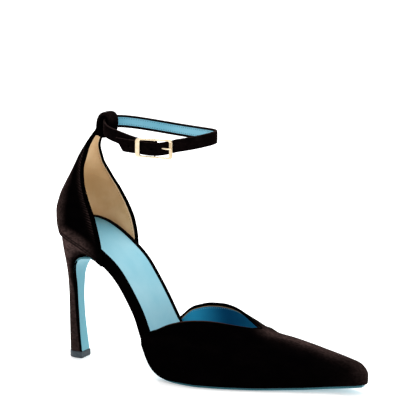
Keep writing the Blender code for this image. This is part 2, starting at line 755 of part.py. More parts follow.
def prong_line():
    """From beside the bar, through the tail, flat onto the front bar of the frame."""
    matrix = frame_matrix()
    root, _ = ring_point(PRONG_ROOT_ANGLE, 0.2)
    root.z -= PRONG_DROP
    level = (matrix.inverted() @ root).y
    height = FRAME_THICK / 2 + GAP + PRONG_RADIUS
    bend = Vector((FRAME_LONG / 2 - FRAME_FRONT_BAR - PRONG_RADIUS, level, height))
    tip = Vector((FRAME_LONG / 2 - GAP, level, height))
    return [root, matrix @ bend, matrix @ tip]


def cut_or_join(obj, other, operation):
    boolean = obj.modifiers.new(other.name, "BOOLEAN")
    boolean.operation = operation
    boolean.solver = "EXACT"
    boolean.object = other


def centre_on_floor(root, objects):
    """Move the shoe so that the origin is under the middle of its box, on the floor."""
    graph = bpy.context.evaluated_depsgraph_get()
    corners = []
    for obj in objects:
        evaluated = obj.evaluated_get(graph)
        corners += [evaluated.matrix_world @ Vector(corner) for corner in evaluated.bound_box]
    low = Vector([min(c[i] for c in corners) for i in range(3)])
    high = Vector([max(c[i] for c in corners) for i in range(3)])
    root.location = (-(low.x + high.x) / 2, -(low.y + high.y) / 2, -low.z)


def main():
    for obj in list(bpy.data.objects):
        bpy.data.objects.remove(obj)
    shoe = bpy.data.collections.new("ankle_strap_pump")
    cutters = bpy.data.collections.new("cutters")
    for collection in (shoe, cutters):
        bpy.context.scene.collection.children.link(collection)
    root = bpy.data.objects.new("shoe", None)
    shoe.objects.link(root)

    velvet = material("brown_velvet", (0.020, 0.012, 0.010), 0.85)
    blue = material("blue_leather", (0.25, 0.58, 0.70), 0.5)
    slate = material("slate_rubber", (0.03, 0.04, 0.05), 0.5)
    gold = material("pale_gold", (0.80, 0.66, 0.42), 0.25, 1.0)

    last = Last()
    add_object("outsole", outsole(last), blue, shoe, root)
    add_object("insole_board", insole_board(last), velvet, shoe, root)
    add_object("insole_sock", insole_sock(last), blue, shoe, root)
    for mesh, wall in ((vamp(last), VAMP_WALL), (counter(), COUNTER_WALL)):
        add_wall(add_object(mesh.name, mesh, velvet, shoe, root), wall)
    add_object("heel", heel(), velvet, shoe, root)
    add_object("top_piece", top_piece(), slate, shoe, root)

    strap = add_object("ankle_strap", ankle_strap(), velvet, shoe, root)
    frame = add_object("buckle_frame", buckle_outline(), gold, shoe, root)
    add_object("buckle_prong", tube("buckle_prong", prong_line(), PRONG_RADIUS), gold, shoe, root)
    bar = add_object("buckle_bar", buckle_bar(), gold, cutters, root)
    hole = tube("prong_hole", prong_line(), PRONG_RADIUS + GAP)
    hole = add_object("prong_hole", hole, gold, cutters, root)
    cut_or_join(frame, bar, "UNION")
    cut_or_join(strap, hole, "DIFFERENCE")
    for cutter in cutters.objects:
        cutter.hide_render = True
        cutter.display_type = "WIRE"
    centre_on_floor(root, [obj for obj in shoe.objects if obj.type == "MESH"])


if __name__ == "__main__":
    main()
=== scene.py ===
import math

import bmesh
import bpy
import numpy as np
from mathutils import Matrix, Vector


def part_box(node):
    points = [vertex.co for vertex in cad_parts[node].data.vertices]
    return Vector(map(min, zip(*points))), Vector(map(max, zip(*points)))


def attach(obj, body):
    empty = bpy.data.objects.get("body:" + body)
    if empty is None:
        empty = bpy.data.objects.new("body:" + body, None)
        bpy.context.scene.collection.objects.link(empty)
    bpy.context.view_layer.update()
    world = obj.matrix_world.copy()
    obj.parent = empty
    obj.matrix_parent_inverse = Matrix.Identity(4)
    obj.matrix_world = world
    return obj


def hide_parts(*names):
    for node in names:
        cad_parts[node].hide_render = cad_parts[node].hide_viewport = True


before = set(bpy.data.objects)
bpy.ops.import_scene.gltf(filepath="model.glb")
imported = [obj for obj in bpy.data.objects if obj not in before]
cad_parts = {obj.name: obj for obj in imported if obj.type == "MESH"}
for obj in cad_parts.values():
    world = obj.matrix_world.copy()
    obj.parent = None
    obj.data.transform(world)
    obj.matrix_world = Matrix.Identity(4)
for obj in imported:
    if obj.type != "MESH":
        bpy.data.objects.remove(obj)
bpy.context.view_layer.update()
mm = 0.001
nearly = 0.01      # millimetres within which two places are the same

# sizes of the shoe in millimetres, from its datum behind the counter, as the solids have them
shoe = {
    "length": 245.5,
    "heelRise": 100.0,
    "ballWidth": 68.0,
    "throatHeight": 39.3,
    "throatAlong": 67.8,      # percent of the length
    "gap": 0.3,
    "sock": 1.0,
    "boardTread": 1.8,
    "soleTread": 2.2,
    "soleShank": 1.5,
    "seatRound": 23.0,
    "toeRound": 9.0,
    "boardToe": 2.8,
    "sockToe": 3.6,
    "soleToe": 3.2,
}

lastTable = {
    "columns": ("along", "rise", "lateral", "medial", "board"),
    "rows": (
        (3.5, 101.1, 37.6, 37.6, 5.0),     # back of the seat
        (8.9, 98.0, 37.8, 37.8, 5.6),
        (14.6, 91.8, 37.4, 37.8, 6.4),     # front of the seat
        (20.2, 82.4, 36.8, 37.6, 6.5),
        (25.1, 71.3, 33.8, 37.8, 6.2),     # top of the shank
        (29.1, 57.0, 32.2, 38.2, 5.5),     # waist
        (32.8, 41.6, 32.4, 38.6, 5.5),
        (36.4, 24.2, 35.6, 40.2, 6.4),     # foot of the shank
        (40.1, 9.4, 40.4, 42.8, 6.9),
        (44.1, 2.0, 45.4, 46.9, 3.9),
        (48.6, 0.2, 48.8, 49.7, 1.9),      # ball
        (52.6, 0.0, 49.3, 50.9, 1.8),
        (58.7, 0.0, 45.6, 50.4, 1.8),
        (66.8, 0.0, 36.5, 46.8, 1.8),      # front of the tread
        (81.0, 1.0, 15.4, 36.0, 1.8),
        (92.3, 3.0, -0.7, 24.3, 1.8),      # toe
        (100.0, 5.0, -7.4, 17.6, 1.8),
    ),
}

vampTable = {
    "columns": ("along", "crownLateral", "crownMedial", "cutLateral", "cutMedial"),
    "rows": (
        (34.2, 300.0, 275.0, 0.034, 0.04),   # back corner, on the side of the shank
        (37.6, 285.0, 252.0, 0.132, 0.18),
        (42.1, 265.0, 205.8, 0.206, 0.318),
        (47.8, 221.0, 163.8, 0.31, 0.476),
        (53.4, 181.0, 139.8, 0.43, 0.63),
        (58.7, 146.0, 123.2, 0.57, 0.785),
        (63.2, 121.0, 109.2, 0.71, 0.895),
        (66.4, 106.7, 99.4, 0.84, 0.95),
        (67.8, 97.8, 97.8, 1.0, 1.0),       # point of the V
        (70.2, 90.8, 90.8, 1.0, 1.0),
        (72.9, 87.8, 87.8, 1.0, 1.0),
        (76.0, 84.8, 84.8, 1.0, 1.0),
        (79.4, 80.4, 80.4, 1.0, 1.0),
        (85.4, 72.2, 72.2, 1.0, 1.0),
        (91.5, 64.0, 64.0, 1.0, 1.0),
        (96.4, 56.2, 56.2, 1.0, 1.0),       # start of the rounded tip
        (100.0, 49.0, 49.0, 1.0, 1.0),
    ),
}

levelColumns = ("backX", "backZ", "frontX", "frontZ", "sag", "widest", "frontWidth")
counterTable = {
    "columns": levelColumns,
    "rows": (
        (6.3, 99.6, 52.0, 78.2, 3.4, 26.2, 25.8),    # lower edge
        (4.9, 106.5, 51.4, 90.0, 2.2, 26.7, 25.8),
        (4.6, 114.5, 49.2, 101.5, 1.0, 26.6, 26.0),
        (7.0, 124.5, 45.4, 112.5, 0.3, 25.6, 24.9),
        (12.1, 135.5, 39.4, 124.5, 0.0, 23.2, 23.0),
        (18.5, 147.0, 33.3, 136.5, 0.0, 18.8, 18.8),
        (23.4, 156.5, 29.7, 148.5, 0.0, 12.8, 12.8),
        (27.8, 163.5, 30.2, 158.9, 0.0, 7.6, 7.6),
        (31.8, 168.6, 33.0, 166.2, 0.0, 5.7, 5.7),
        (35.1, 172.4, 36.2, 171.0, 0.0, 5.4, 5.4),   # foot of the loop
    ),
}

heelTable = {
    "columns": levelColumns,
    "rows": (
        (9.1, 5.3, 19.4, 5.3, 0.0, 6.1, 5.9),        # on the top piece
        (8.9, 16.0, 18.1, 16.0, 0.0, 5.9, 5.7),
        (8.9, 32.0, 16.4, 32.0, 0.0, 5.8, 5.5),
        (9.0, 47.0, 15.7, 47.0, 0.0, 6.0, 5.6),
        (9.0, 58.0, 15.5, 58.0, 0.0, 7.0, 6.6),
        (8.9, 68.0, 15.7, 67.5, 0.0, 9.0, 8.4),
        (8.7, 77.5, 17.6, 75.4, 0.0, 12.6, 11.4),
        (8.3, 86.0, 22.4, 80.2, 0.6, 17.4, 14.5),
        (7.2, 93.5, 31.5, 82.8, 2.0, 22.0, 17.0),
        (6.2, 99.0, 46.6, 79.4, 3.3, 25.2, 20.5),    # under the seat
    ),
}

flapTable = {
    "columns": ("x", "z", "half"),
    "rows": (
        (36.5, 79.7, 16.4),
        (26.6, 78.0, 14.0),
        (20.2, 72.4, 10.4),
        (17.7, 62.0, 7.2),
        (17.6, 47.0, 5.6),
        (18.3, 32.0, 5.4),
        (20.0, 16.0, 5.6),
        (21.3, 5.3, 5.8),
    ),
}

# the tables' datum in the frame: the toe's tip and the heel's middle plane are known in both
topLow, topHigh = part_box("top_piece")
datum = np.array((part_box("vamp")[1].x / mm - shoe["length"], (topLow.y + topHigh.y) / 2 / mm, 0.0))
print("frame loaded,", len(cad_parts), "solids, datum", datum.round(3))


# curves and grids
def tableCurve(table, column, key=None):
    # smooth curve through a column of a table, which never swings past its rows
    rows = np.array(table["rows"], float)
    ys = rows[:, table["columns"].index(column)]
    xs = rows[:, table["columns"].index(key)] if key else np.arange(len(ys), dtype=float)
    gaps = np.diff(xs)
    step = np.diff(ys) / gaps
    w1, w2 = 2 * gaps[1:] + gaps[:-1], gaps[1:] + 2 * gaps[:-1]
    rising = step[:-1] * step[1:] > 0
    before, after = np.where(rising, step[:-1], 1.0), np.where(rising, step[1:], 1.0)
    inner = np.where(rising, (w1 + w2) / (w1 / before + w2 / after), 0.0)
    slope = np.concatenate(([step[0]], inner, [step[-1]]))

    def value(x):
        x = np.clip(x, xs[0], xs[-1])
        i = np.clip(np.searchsorted(xs, x) - 1, 0, len(xs) - 2)
        h = xs[i + 1] - xs[i]
        t = (x - xs[i]) / h
        level = (2 * t**3 - 3 * t**2 + 1) * ys[i] + (3 * t**2 - 2 * t**3) * ys[i + 1]
        return level + h * ((t**3 - 2 * t**2 + t) * slope[i] + (t**3 - t**2) * slope[i + 1])

    return value


def blend(a, b, t):
    return a + (b - a) * t


def ease(t):
    t = np.clip(t, 0.0, 1.0)
    return t * t * (3 - 2 * t)


def ramp(value, start, over):
    # settings often hold the last two as a pair
    return ease((value - start) / over)


def fall(value, end, over):
    return ease((end - value) / over)


def tableLevels(table, count):
    # evenly spaced levels through the rows of a table
    rows = np.linspace(0, len(table["rows"]) - 1, count)
    return {name: tableCurve(table, name)(rows) for name in table["columns"]}, rows


def roundedPower(share, power):
    return np.sign(share) * np.abs(share) ** (2 / power)


def unit(vectors):
    return vectors / np.maximum(np.linalg.norm(vectors, axis=-1, keepdims=True), 1e-9)


def gridNormals(points):
    return unit(np.cross(np.gradient(points, axis=1), np.gradient(points, axis=0)))


def rowLengths(points):
    steps = np.linalg.norm(np.diff(points, axis=1), axis=2)
    return np.concatenate((np.zeros((len(points), 1)), np.cumsum(steps, axis=1)), axis=1)


def alongRows(points, lengths, wanted):
    # values of each row at the wanted distances along it
    result = np.empty(wanted.shape + (points.shape[2],))
    for i, row in enumerate(points):
        for axis in range(points.shape[2]):
            result[i, :, axis] = np.interp(wanted[i], lengths[i], row[:, axis])
    return result


def evenRows(points, start, end, count):
    # each row again with evenly spaced points, between distances from its two ends
    lengths = rowLengths(points)
    total = lengths[:, -1]
    low, high = np.broadcast_to(start, total.shape), total - np.broadcast_to(end, total.shape)
    return alongRows(points, lengths, low[:, None] + (high - low)[:, None] * np.linspace(0, 1, count))


def uprightSheet(line, heights):
    # grid that stands along a line, with a point of each row at each height
    sheet = np.repeat(line[:, None], len(heights), axis=1)
    sheet[:, :, 2] += heights
    return sheet


def cornerArcs(centre, radius, steps):
    # arcs of four rounded corners in turn, each about the centre that its two signs give
    arcs = []
    for start, first, second in ((0, 1, 1), (90, -1, 1), (180, -1, -1), (270, 1, -1)):
        turn = np.radians(np.linspace(start, start + 90, steps))
        arcs.append(np.array(centre(first, second)) + radius * np.stack((np.cos(turn), np.sin(turn)), axis=1))
    return arcs


# footbed of the last, and the flat layers on it
layerSet = {
    "step": 1.6, "turn": (8, 84, 16),        # stations along a layer, and degrees round its two ends
    "across": 12, "sideTurns": 7, "sidePower": 2.6, "leastHalf": 1.2, "cutEdge": (0.08, 0.97),
}


class Footbed:
    def __init__(self):
        for column in lastTable["columns"][1:]:
            setattr(self, column, tableCurve(lastTable, column, "along"))
        self.back = lastTable["rows"][0][0] / 100 * shoe["length"]
        self.tread = shoe["soleTread"] + shoe["boardTread"] + shoe["sock"] + 2 * shoe["gap"]
        self.stations = np.linspace(self.back, shoe["length"], 400)
        self.lowerLine = self.under(self.stations, self.boardBottom(self.stations))

    def share(self, x):
        return 100 * x / shoe["length"]

    def bed(self, x):
        return self.tread + self.rise(self.share(x)) / 100 * shoe["heelRise"]

    def under(self, x, depth):
        # points at a depth under the footbed, square to it
        last = x > shoe["length"] - 1
        slope = np.where(last, self.bed(x) - self.bed(x - 1.0), self.bed(x + 0.5) - self.bed(x - 0.5))
        size = np.hypot(slope, 1.0)
        return x + depth * slope / size, self.bed(x) - depth / size

    def boardBottom(self, x):
        return shoe["sock"] + shoe["gap"] + self.board(self.share(x))

    def middle(self, x):
        return (self.medial(self.share(x)) - self.lateral(self.share(x))) / 200 * shoe["ballWidth"]

    def toeRound(self, x):
        tip = np.clip((x - shoe["length"] + shoe["toeRound"]) / shoe["toeRound"], 0, 1)
        return np.sqrt(1 - tip * tip)

    def halfWidth(self, x):
        half = (self.medial(self.share(x)) + self.lateral(self.share(x))) / 200 * shoe["ballWidth"]
        seat = np.clip((self.back + shoe["seatRound"] - x) / shoe["seatRound"], 0, 1)
        return half * np.sqrt(1 - seat * seat) * self.toeRound(x)

    def stationOf(self, x):
        return np.interp(x, self.lowerLine[0], self.stations)

    def lowerEdge(self, x):
        return np.interp(x, *self.lowerLine)

    def layerStations(self, start, end):
        # closer together where the layer is rounded
        turn = np.radians(np.linspace(*layerSet["turn"]))
        back = start + shoe["seatRound"] * (1 - np.cos(turn))
        front = end - shoe["toeRound"] * (1 - np.cos(turn[::-1]))
        count = int((front[0] - back[-1]) / layerSet["step"])
        return np.concatenate((back, np.linspace(back[-1], front[0], count)[1:-1], front))


bed = Footbed()


# finishes
class Wire:
    def __init__(self, tree, socket=None):
        self.tree = tree
        self.socket = socket

    def node(self, kind, settings=None, sockets=None, out=0):
        made = self.tree.nodes.new(kind)
        for name, value in (settings or {}).items():
            if name == "stops":
                for stop, (place, shade) in zip(made.color_ramp.elements, value):
                    stop.position = place
                    stop.color = shade
            else:
                setattr(made, name, value)
        for name, value in (sockets or {}).items():
            target = next(s for s in made.inputs if name in (s.identifier, s.name))
            if isinstance(value, Wire):
                self.tree.links.new(value.socket, target)
            else:
                target.default_value = value
        return Wire(self.tree, made.outputs[out])

    def maths(self, operation, first, second):
        return self.node("ShaderNodeMath", {"operation": operation}, {"Value": first, "Value_001": second})

    def __add__(self, other):
        return self.maths("ADD", self, other)

    def __radd__(self, other):
        return self.maths("ADD", other, self)

    def __mul__(self, other):
        return self.maths("MULTIPLY", self, other)

    def __rmul__(self, other):
        return self.maths("MULTIPLY", other, self)

    def place(self, scale=(1.0, 1.0, 1.0), turn=(0.0, 0.0, 0.0)):
        here = self.node("ShaderNodeTexCoord", out=3)
        return self.node("ShaderNodeMapping", None, {"Vector": here, "Scale": scale, "Rotation": turn})

    def noise(self, size, detail=2.0, scale=(1.0, 1.0, 1.0), turn=(0.0, 0.0, 0.0)):
        # size of the spots in millimetres
        sockets = {"Vector": self.place(scale, turn), "Scale": 1 / (size * mm), "Detail": detail}
        return self.node("ShaderNodeTexNoise", None, sockets)

    def between(self, low, high):
        sockets = {"Value": self, "From Min": low, "From Max": high}
        return self.node("ShaderNodeMapRange", {"interpolation_type": "SMOOTHSTEP"}, sockets)

    def mix(self, first, second):
        sockets = {"Factor_Float": self, "A_Color": first, "B_Color": second}
        return self.node("ShaderNodeMix", {"data_type": "RGBA"}, sockets, 2)

    def painted(self, name):
        return self.node("ShaderNodeAttribute", {"attribute_name": name}, out=2)

    def bump(self, depth):
        # depth of the relief in millimetres
        return self.node("ShaderNodeBump", None, {"Height": self, "Distance": depth * mm, "Strength": 1.0})


def newFinish(name, sockets):
    finish = bpy.data.materials.new(name)
    finish.use_nodes = True
    shader = finish.node_tree.nodes["Principled BSDF"]
    for socket, value in sockets.items():
        shader.inputs[socket].default_value = value
    return finish, shader, Wire(finish.node_tree)


def feed(shader, **wires):
    names = {"colour": "Base Color", "roughness": "Roughness", "normal": "Normal"}
    for name, wire in wires.items():
        shader.id_data.links.new(wire.socket, shader.inputs[names[name]])


velvetLook = {
    "dark": (0.0003, 0.0002, 0.0003, 1.0),
    "napAndSheen": (0.0020, 0.0013, 0.0013, 1.0),
    # painted sheen: the brown that stands in for light grazing the nap
    "brushedSheen": (0.058, 0.036, 0.033, 1.0),
    "turned": 0.18,          # share of the painted sheen colour where the surface turns away from the view
    "pile": 0.34,            # spots of the pile
    "pileDepth": 0.16,
    "streak": 2.2,           # lines that the nap is brushed along
    "streakLean": 0.25,
    "tuft": 1.3,             # where the pile catches the light
    "patch": 9.0,            # brushed patches, in the ground and in the painted sheen
}


def velvetFinish():
    look = velvetLook
    finish, shader, wire = newFinish("velvet", {"Roughness": 0.85, "Specular IOR Level": 0.0})
    pile = wire.noise(look["pile"], 3.0)
    streak = wire.noise(look["streak"], 3.0, (0.28, 1.0, 1.0), (0.0, look["streakLean"], 0.0))
    patch = wire.noise(look["patch"], 4.0, (0.45, 1.0, 1.0)).between(0.42, 0.72)
    tuft = wire.noise(look["tuft"], 4.0, (0.6, 1.0, 1.0)).between(0.3, 0.7)
    # painted sheen: brown is laid over the dark ground where the nap attribute is painted on and where the
    # surface turns away from the view
    facing = wire.node("ShaderNodeLayerWeight", None, {"Blend": 0.5}, 1).between(0.55, 1.0)
    brushedSheen = wire.painted("napAndSheen") * (0.72 + patch * 0.4) + facing * look["turned"]
    brushedSheen = brushedSheen * (0.5 + streak * 0.75) * (0.55 + tuft)
    ground = ((0.1 + 0.3 * patch) * (0.3 + pile)).mix(look["dark"], look["napAndSheen"])
    feed(shader, colour=brushedSheen.mix(ground, look["brushedSheen"]),
         normal=(pile + streak * 0.5).bump(look["pileDepth"]))
    return finish


# size, detail and stretch of the spots and of the grain; roughness and how far the grain varies it
bindingLook = {
    "colour": (0.0003, 0.0003, 0.0003, 1.0), "second": (0.0016, 0.0011, 0.0011, 1.0),
    # crest: painted sheen, a brown line along the top of the binding
    "crest": (0.030, 0.013, 0.009, 1.0), "spots": (6.0, 3.0), "spread": (0.5, 0.8),
    "grain": (0.9, 4.0), "roughness": (0.55, 0.2), "depth": 0.08, "shader": {"Specular IOR Level": 0.0},
}
goldLook = {
    "colour": (0.77, 0.64, 0.46, 1.0), "second": (0.64, 0.50, 0.30, 1.0),
    # inner: painted shade, darker gold on the window's inner faces
    "inner": (0.46, 0.33, 0.18, 1.0), "spots": (4.0, 3.0), "spread": (0.4, 0.8),
    "grain": (0.9, 3.0, (0.2, 1.0, 1.0)), "roughness": (0.13, 0.12), "depth": 0.01,
    "shader": {"Metallic": 1.0, "Coat Weight": 0.15, "Coat Roughness": 0.1},
}
rubberLook = {
    "colour": (0.020, 0.034, 0.044, 1.0), "second": (0.036, 0.052, 0.064, 1.0),
    "spots": (2.6, 5.0, (1.0, 1.0, 3.0)), "spread": (0.45, 0.75),
    "grain": (0.35, 4.0), "roughness": (0.42, 0.25), "depth": 0.05, "shader": {"Specular IOR Level": 0.35},
}


def mottledFinish(name, look, third=None):
    # two colours in spots, a third one where it is painted on, and a fine grain
    finish, shader, wire = newFinish(name, look["shader"])
    grain = wire.noise(*look["grain"])
    face = wire.noise(*look["spots"]).between(*look["spread"]).mix(look["colour"], look["second"])
    if third:
        face = wire.painted(third).mix(face, look[third])
    rough, varied = look["roughness"]
    feed(shader, colour=face, roughness=rough + grain * varied, normal=grain.bump(look["depth"]))
    return finish


sockLook = {
    "colour": (0.185, 0.405, 0.485, 1.0), "second": (0.240, 0.450, 0.520, 1.0),
    "deep": (0.060, 0.225, 0.300, 1.0), "cut": (0.08, 0.028, 0.016, 1.0),
    "gloss": 0.2, "sheen": 0.0, "grain": 0.55, "cloud": 24.0, "roughness": 0.42, "depth": 0.035,
}
liningLook = dict(sockLook, colour=(0.026, 0.330, 0.550, 1.0), second=(0.034, 0.360, 0.580, 1.0),
                  deep=(0.001, 0.070, 0.160, 1.0), cut=(0.30, 0.12, 0.050, 1.0), gloss=0.04)
strapLiningLook = dict(sockLook, colour=(0.125, 0.365, 0.475, 1.0), second=(0.170, 0.420, 0.530, 1.0),
                       deep=(0.200, 0.470, 0.590, 1.0), cut=(0.05, 0.18, 0.25, 1.0))
soleLook = dict(sockLook, colour=(0.119, 0.354, 0.425, 1.0), second=(0.150, 0.396, 0.460, 1.0),
                cut=(0.026, 0.125, 0.155, 1.0), roughness=0.32)
tanLook = {
    "colour": (0.690, 0.470, 0.255, 1.0), "second": (0.590, 0.370, 0.180, 1.0),
    "deep": (0.440, 0.250, 0.095, 1.0), "cut": (0.850, 0.640, 0.400, 1.0),
    "gloss": 0.2, "sheen": 0.1, "grain": 0.8, "cloud": 11.0, "roughness": 0.55, "depth": 0.05,
}


def leatherFinish(name, look):
    sockets = {"Specular IOR Level": look["gloss"], "Sheen Weight": look["sheen"]}
    finish, shader, wire = newFinish(name, sockets)
    cells = wire.node("ShaderNodeTexVoronoi", {"feature": "SMOOTH_F1"},
                      {"Vector": wire.place(), "Scale": 1 / (look["grain"] * mm)})
    creased = wire.noise(look["grain"] * 0.55, 5.0)
    face = wire.noise(look["cloud"], 3.0).between(0.3, 0.75).mix(look["colour"], look["second"])
    face = wire.painted("deep").mix(face, look["deep"])
    face = wire.painted("edge").mix(face, look["cut"])
    grain = cells * 0.6 + creased * 0.5
    feed(shader, colour=face, roughness=look["roughness"] + grain * 0.12, normal=grain.bump(look["depth"]))
    return finish


threadLook = {
    "twist": 0.9, "depth": 0.06, "shade": 0.55,      # colour in the hollows, as a share of the thread's own
    "colours": {
        "blueThread": (0.015, 0.080, 0.115, 1.0),
        "skyThread": (0.230, 0.580, 0.700, 1.0),
        "tanThread": (0.360, 0.220, 0.110, 1.0),
    },
}


def threadFinish(name, colour):
    finish, shader, wire = newFinish(name, {"Roughness": 0.7, "Specular IOR Level": 0.2})
    twist = wire.node("ShaderNodeTexWave", {"bands_direction": "DIAGONAL"},
                      {"Vector": wire.place(), "Scale": 1 / (threadLook["twist"] * mm), "Distortion": 1.0})
    hollow = [c * threadLook["shade"] for c in colour[:3]] + [1.0]
    feed(shader, colour=twist.mix(hollow, colour), normal=twist.bump(threadLook["depth"]))
    return finish


floorLook = {
    "colour": (0.94, 0.94, 0.94, 1.0), "second": (0.92, 0.925, 0.93, 1.0), "cloud": 180.0,
    "shader": {"Specular IOR Level": 0.12, "Emission Color": (1.0, 1.0, 1.0, 1.0), "Emission Strength": 0.3},
}


def floorFinish():
    finish, shader, wire = newFinish("paleFloor", floorLook["shader"])
    cloud = wire.noise(floorLook["cloud"], 3.0)
    feed(shader, colour=cloud.mix(floorLook["colour"], floorLook["second"]), roughness=0.34 + cloud * 0.1)
    return finish


finishes = {
    "velvet": velvetFinish(),
    "binding": mottledFinish("foldedBinding", bindingLook, "crest"),
    "sock": leatherFinish("blueSock", sockLook),
    "lining": leatherFinish("blueLining", liningLook),
    "strapLining": leatherFinish("blueStrapLining", strapLiningLook),
    "sole": leatherFinish("blueSole", soleLook),
    "tan": leatherFinish("tanLining", tanLook),
    "gold": mottledFinish("paleGold", goldLook, "inner"),
    "rubber": mottledFinish("slateRubber", rubberLook),
}
for threadName, threadColour in threadLook["colours"].items():
    finishes[threadName] = threadFinish(threadName, threadColour)
print("finishes made:", len(finishes))


# mesh tools
meshSet = {
    "sharpAngle": 50, "rollSteps": 4,
    "tubeGuide": (0.31, 0.22, 0.92),      # no tube runs this way
    "rimBack": 0.8,                       # how far back from an edge its direction is read
}


def addGrid(bm, points, flip=False, closed=False):
    rows = [[bm.verts.new(point) for point in row] for row in points]
    for low, high in zip(rows, rows[1:]):
        quads = list(zip(low, low[1:], high[1:], high))
        if closed:
            quads.append((low[-1], low[0], high[0], high[-1]))
        for quad in quads:
            bm.faces.new(quad[::-1] if flip else quad)
    return rows


def loftBody(rings, loop=False):
    # closed body over closed rings, capped at both ends or running round into itself
    bm = bmesh.new()
    rows = addGrid(bm, np.concatenate((rings, rings[:1])) if loop else rings, closed=True)
    if loop:
        bmesh.ops.remove_doubles(bm, verts=bm.verts, dist=1e-4)
    else:
        bm.faces.new(rows[0])
        bm.faces.new(rows[-1])
    bmesh.ops.recalc_face_normals(bm, faces=bm.faces)
    return bm


def roundTube(points, radii, sides=16):
    # rings of a tube along a line of points
    points = np.array([tuple(point) for point in points])
    tangents = unit(np.gradient(points, axis=0))
    turn = np.linspace(0, 2 * math.pi, sides, endpoint=False)
    first = unit(np.cross(tangents, meshSet["tubeGuide"]))
    second = np.cross(tangents, first)
    around = first[:, None] * np.cos(turn)[:, None] + second[:, None] * np.sin(turn)[:, None]
    return points[:, None] + around * np.asarray(radii)[:, None, None]


def roundedWall(grids, wall, bulge, power=2.0):
    # wall of one thickness behind outward facing grids, its open edges rolled over
    bm = bmesh.new()
    steps = meshSet["rollSteps"]
    edgeLayer = bm.verts.layers.float.new("edge")
    for points, flip in grids:
        addGrid(bm, points, flip)
    bmesh.ops.remove_doubles(bm, verts=bm.verts, dist=1e-3)
    bm.normal_update()
    outer, faces = list(bm.verts), list(bm.faces)
    rims = [edge for edge in bm.edges if edge.is_boundary]
    inner = {vert: bm.verts.new(vert.co - vert.normal * wall) for vert in outer}
    sides, runs = {}, []
    for edge in rims:
        loop = edge.link_loops[0]
        first, second = loop.vert, loop.link_loop_next.vert
        side = (second.co - first.co).cross(loop.face.normal)
        runs.append((first, second))
        for vert in (first, second):
            sides[vert] = sides.get(vert, Vector()) + side
    rolls = {}
    for vert, side in sides.items():
        away = (side - vert.normal * side.dot(vert.normal)).normalized()
        middle = vert.co - vert.normal * (wall / 2)
        rolls[vert] = [vert]
        for step in range(1, steps):
            turn = math.pi * step / steps
            rise, reach = roundedPower(math.cos(turn), power), roundedPower(math.sin(turn), power)
            rolled = bm.verts.new(middle + vert.normal * (wall / 2 * rise) + away * (wall * bulge * reach))
            rolled[edgeLayer] = 1.0
            rolls[vert].append(rolled)
        rolls[vert].append(inner[vert])
    for face in faces:
        bm.faces.new([inner[vert] for vert in reversed(face.verts)])
    for first, second in runs:
        for k in range(steps):
            bm.faces.new((rolls[second][k], rolls[first][k], rolls[first][k + 1], rolls[second][k + 1]))
    return bm


def paint(bm, name, shade):
    # value between 0 and 1 on each point, from its place in the shoe
    layer = bm.verts.layers.float.new(name)
    for vert in bm.verts:
        vert[layer] = float(shade(vert.co))


def paintRings(bm, name, values):
    # adds one value for each point of each ring, or of each row of a grid
    layers = bm.verts.layers.float
    layer = layers.get(name) or layers.new(name)
    for vert, value in zip(bm.verts, np.ravel(values)):
        vert[layer] += float(value)


def shoeMesh(name, bm):
    # from the shoe's millimetres to the frame
    shift = Vector(datum)
    for vert in bm.verts:
        vert.co = (vert.co + shift) * mm
    mesh = bpy.data.meshes.new(name)
    bm.to_mesh(mesh)
    bm.free()
    return mesh


def addObject(name, data):
    made = bpy.data.objects.new(name, data)
    bpy.context.scene.collection.objects.link(made)
    return made


def evaluatedMesh(holder):
    evaluated = holder.evaluated_get(bpy.context.evaluated_depsgraph_get())
    return bpy.data.meshes.new_from_object(evaluated)


def addPiece(name, bm, finish, nodes=()):
    return placeMesh(name, shoeMesh(name, bm), finish, nodes)


def placeMesh(name, mesh, finish, nodes=()):
    mesh.shade_smooth()
    mesh.set_sharp_from_angle(angle=math.radians(meshSet["sharpAngle"]))
    mesh.materials.clear()
    mesh.materials.append(finishes[finish])
    piece = addObject(name, mesh)
    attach(piece, "root")
    if nodes:
        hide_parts(*nodes)
    print("  ", name, sum(len(face.vertices) - 2 for face in mesh.polygons), "triangles")
    return piece


# stitches: one tree for every sewn line
def stitchTree():
    tree = bpy.data.node_groups.new("sewnLine", "GeometryNodeTree")
    face = tree.interface
    face.new_socket("Line", in_out="INPUT", socket_type="NodeSocketGeometry")
    for name in ("Pitch", "Length", "Thickness"):
        face.new_socket(name, in_out="INPUT", socket_type="NodeSocketFloat")
    face.new_socket("Thread", in_out="INPUT", socket_type="NodeSocketMaterial")
    face.new_socket("Stitches", in_out="OUTPUT", socket_type="NodeSocketGeometry")
    wire = Wire(tree)
    given = tree.nodes.new("NodeGroupInput")
    inputs = {socket.name: Wire(tree, socket) for socket in given.outputs if socket.name}
    curve = wire.node("GeometryNodeMeshToCurve", None, {"Mesh": inputs["Line"]})
    points = wire.node("GeometryNodeCurveToPoints", {"mode": "LENGTH"},
                       {"Curve": curve, "Length": inputs["Pitch"]})
    turned = Wire(tree, points.socket.node.outputs["Rotation"])
    ball = wire.node("GeometryNodeMeshUVSphere", None, {"Segments": 6, "Rings": 4, "Radius": 1.0})
    size = wire.node("ShaderNodeCombineXYZ", None,
                     {"X": inputs["Thickness"], "Y": inputs["Thickness"], "Z": inputs["Length"]})
    placed = wire.node("GeometryNodeInstanceOnPoints", None,
                       {"Points": points, "Instance": ball, "Rotation": turned, "Scale": size})
    real = wire.node("GeometryNodeRealizeInstances", None, {"Geometry": placed})
    sewn = wire.node("GeometryNodeSetMaterial", None, {"Geometry": real, "Material": inputs["Thread"]})
    out = tree.nodes.new("NodeGroupOutput")
    tree.links.new(sewn.socket, out.inputs["Stitches"])
    return tree


sewnLine = stitchTree()
threadLift = 0.02      # of a stitch's middle over the leather


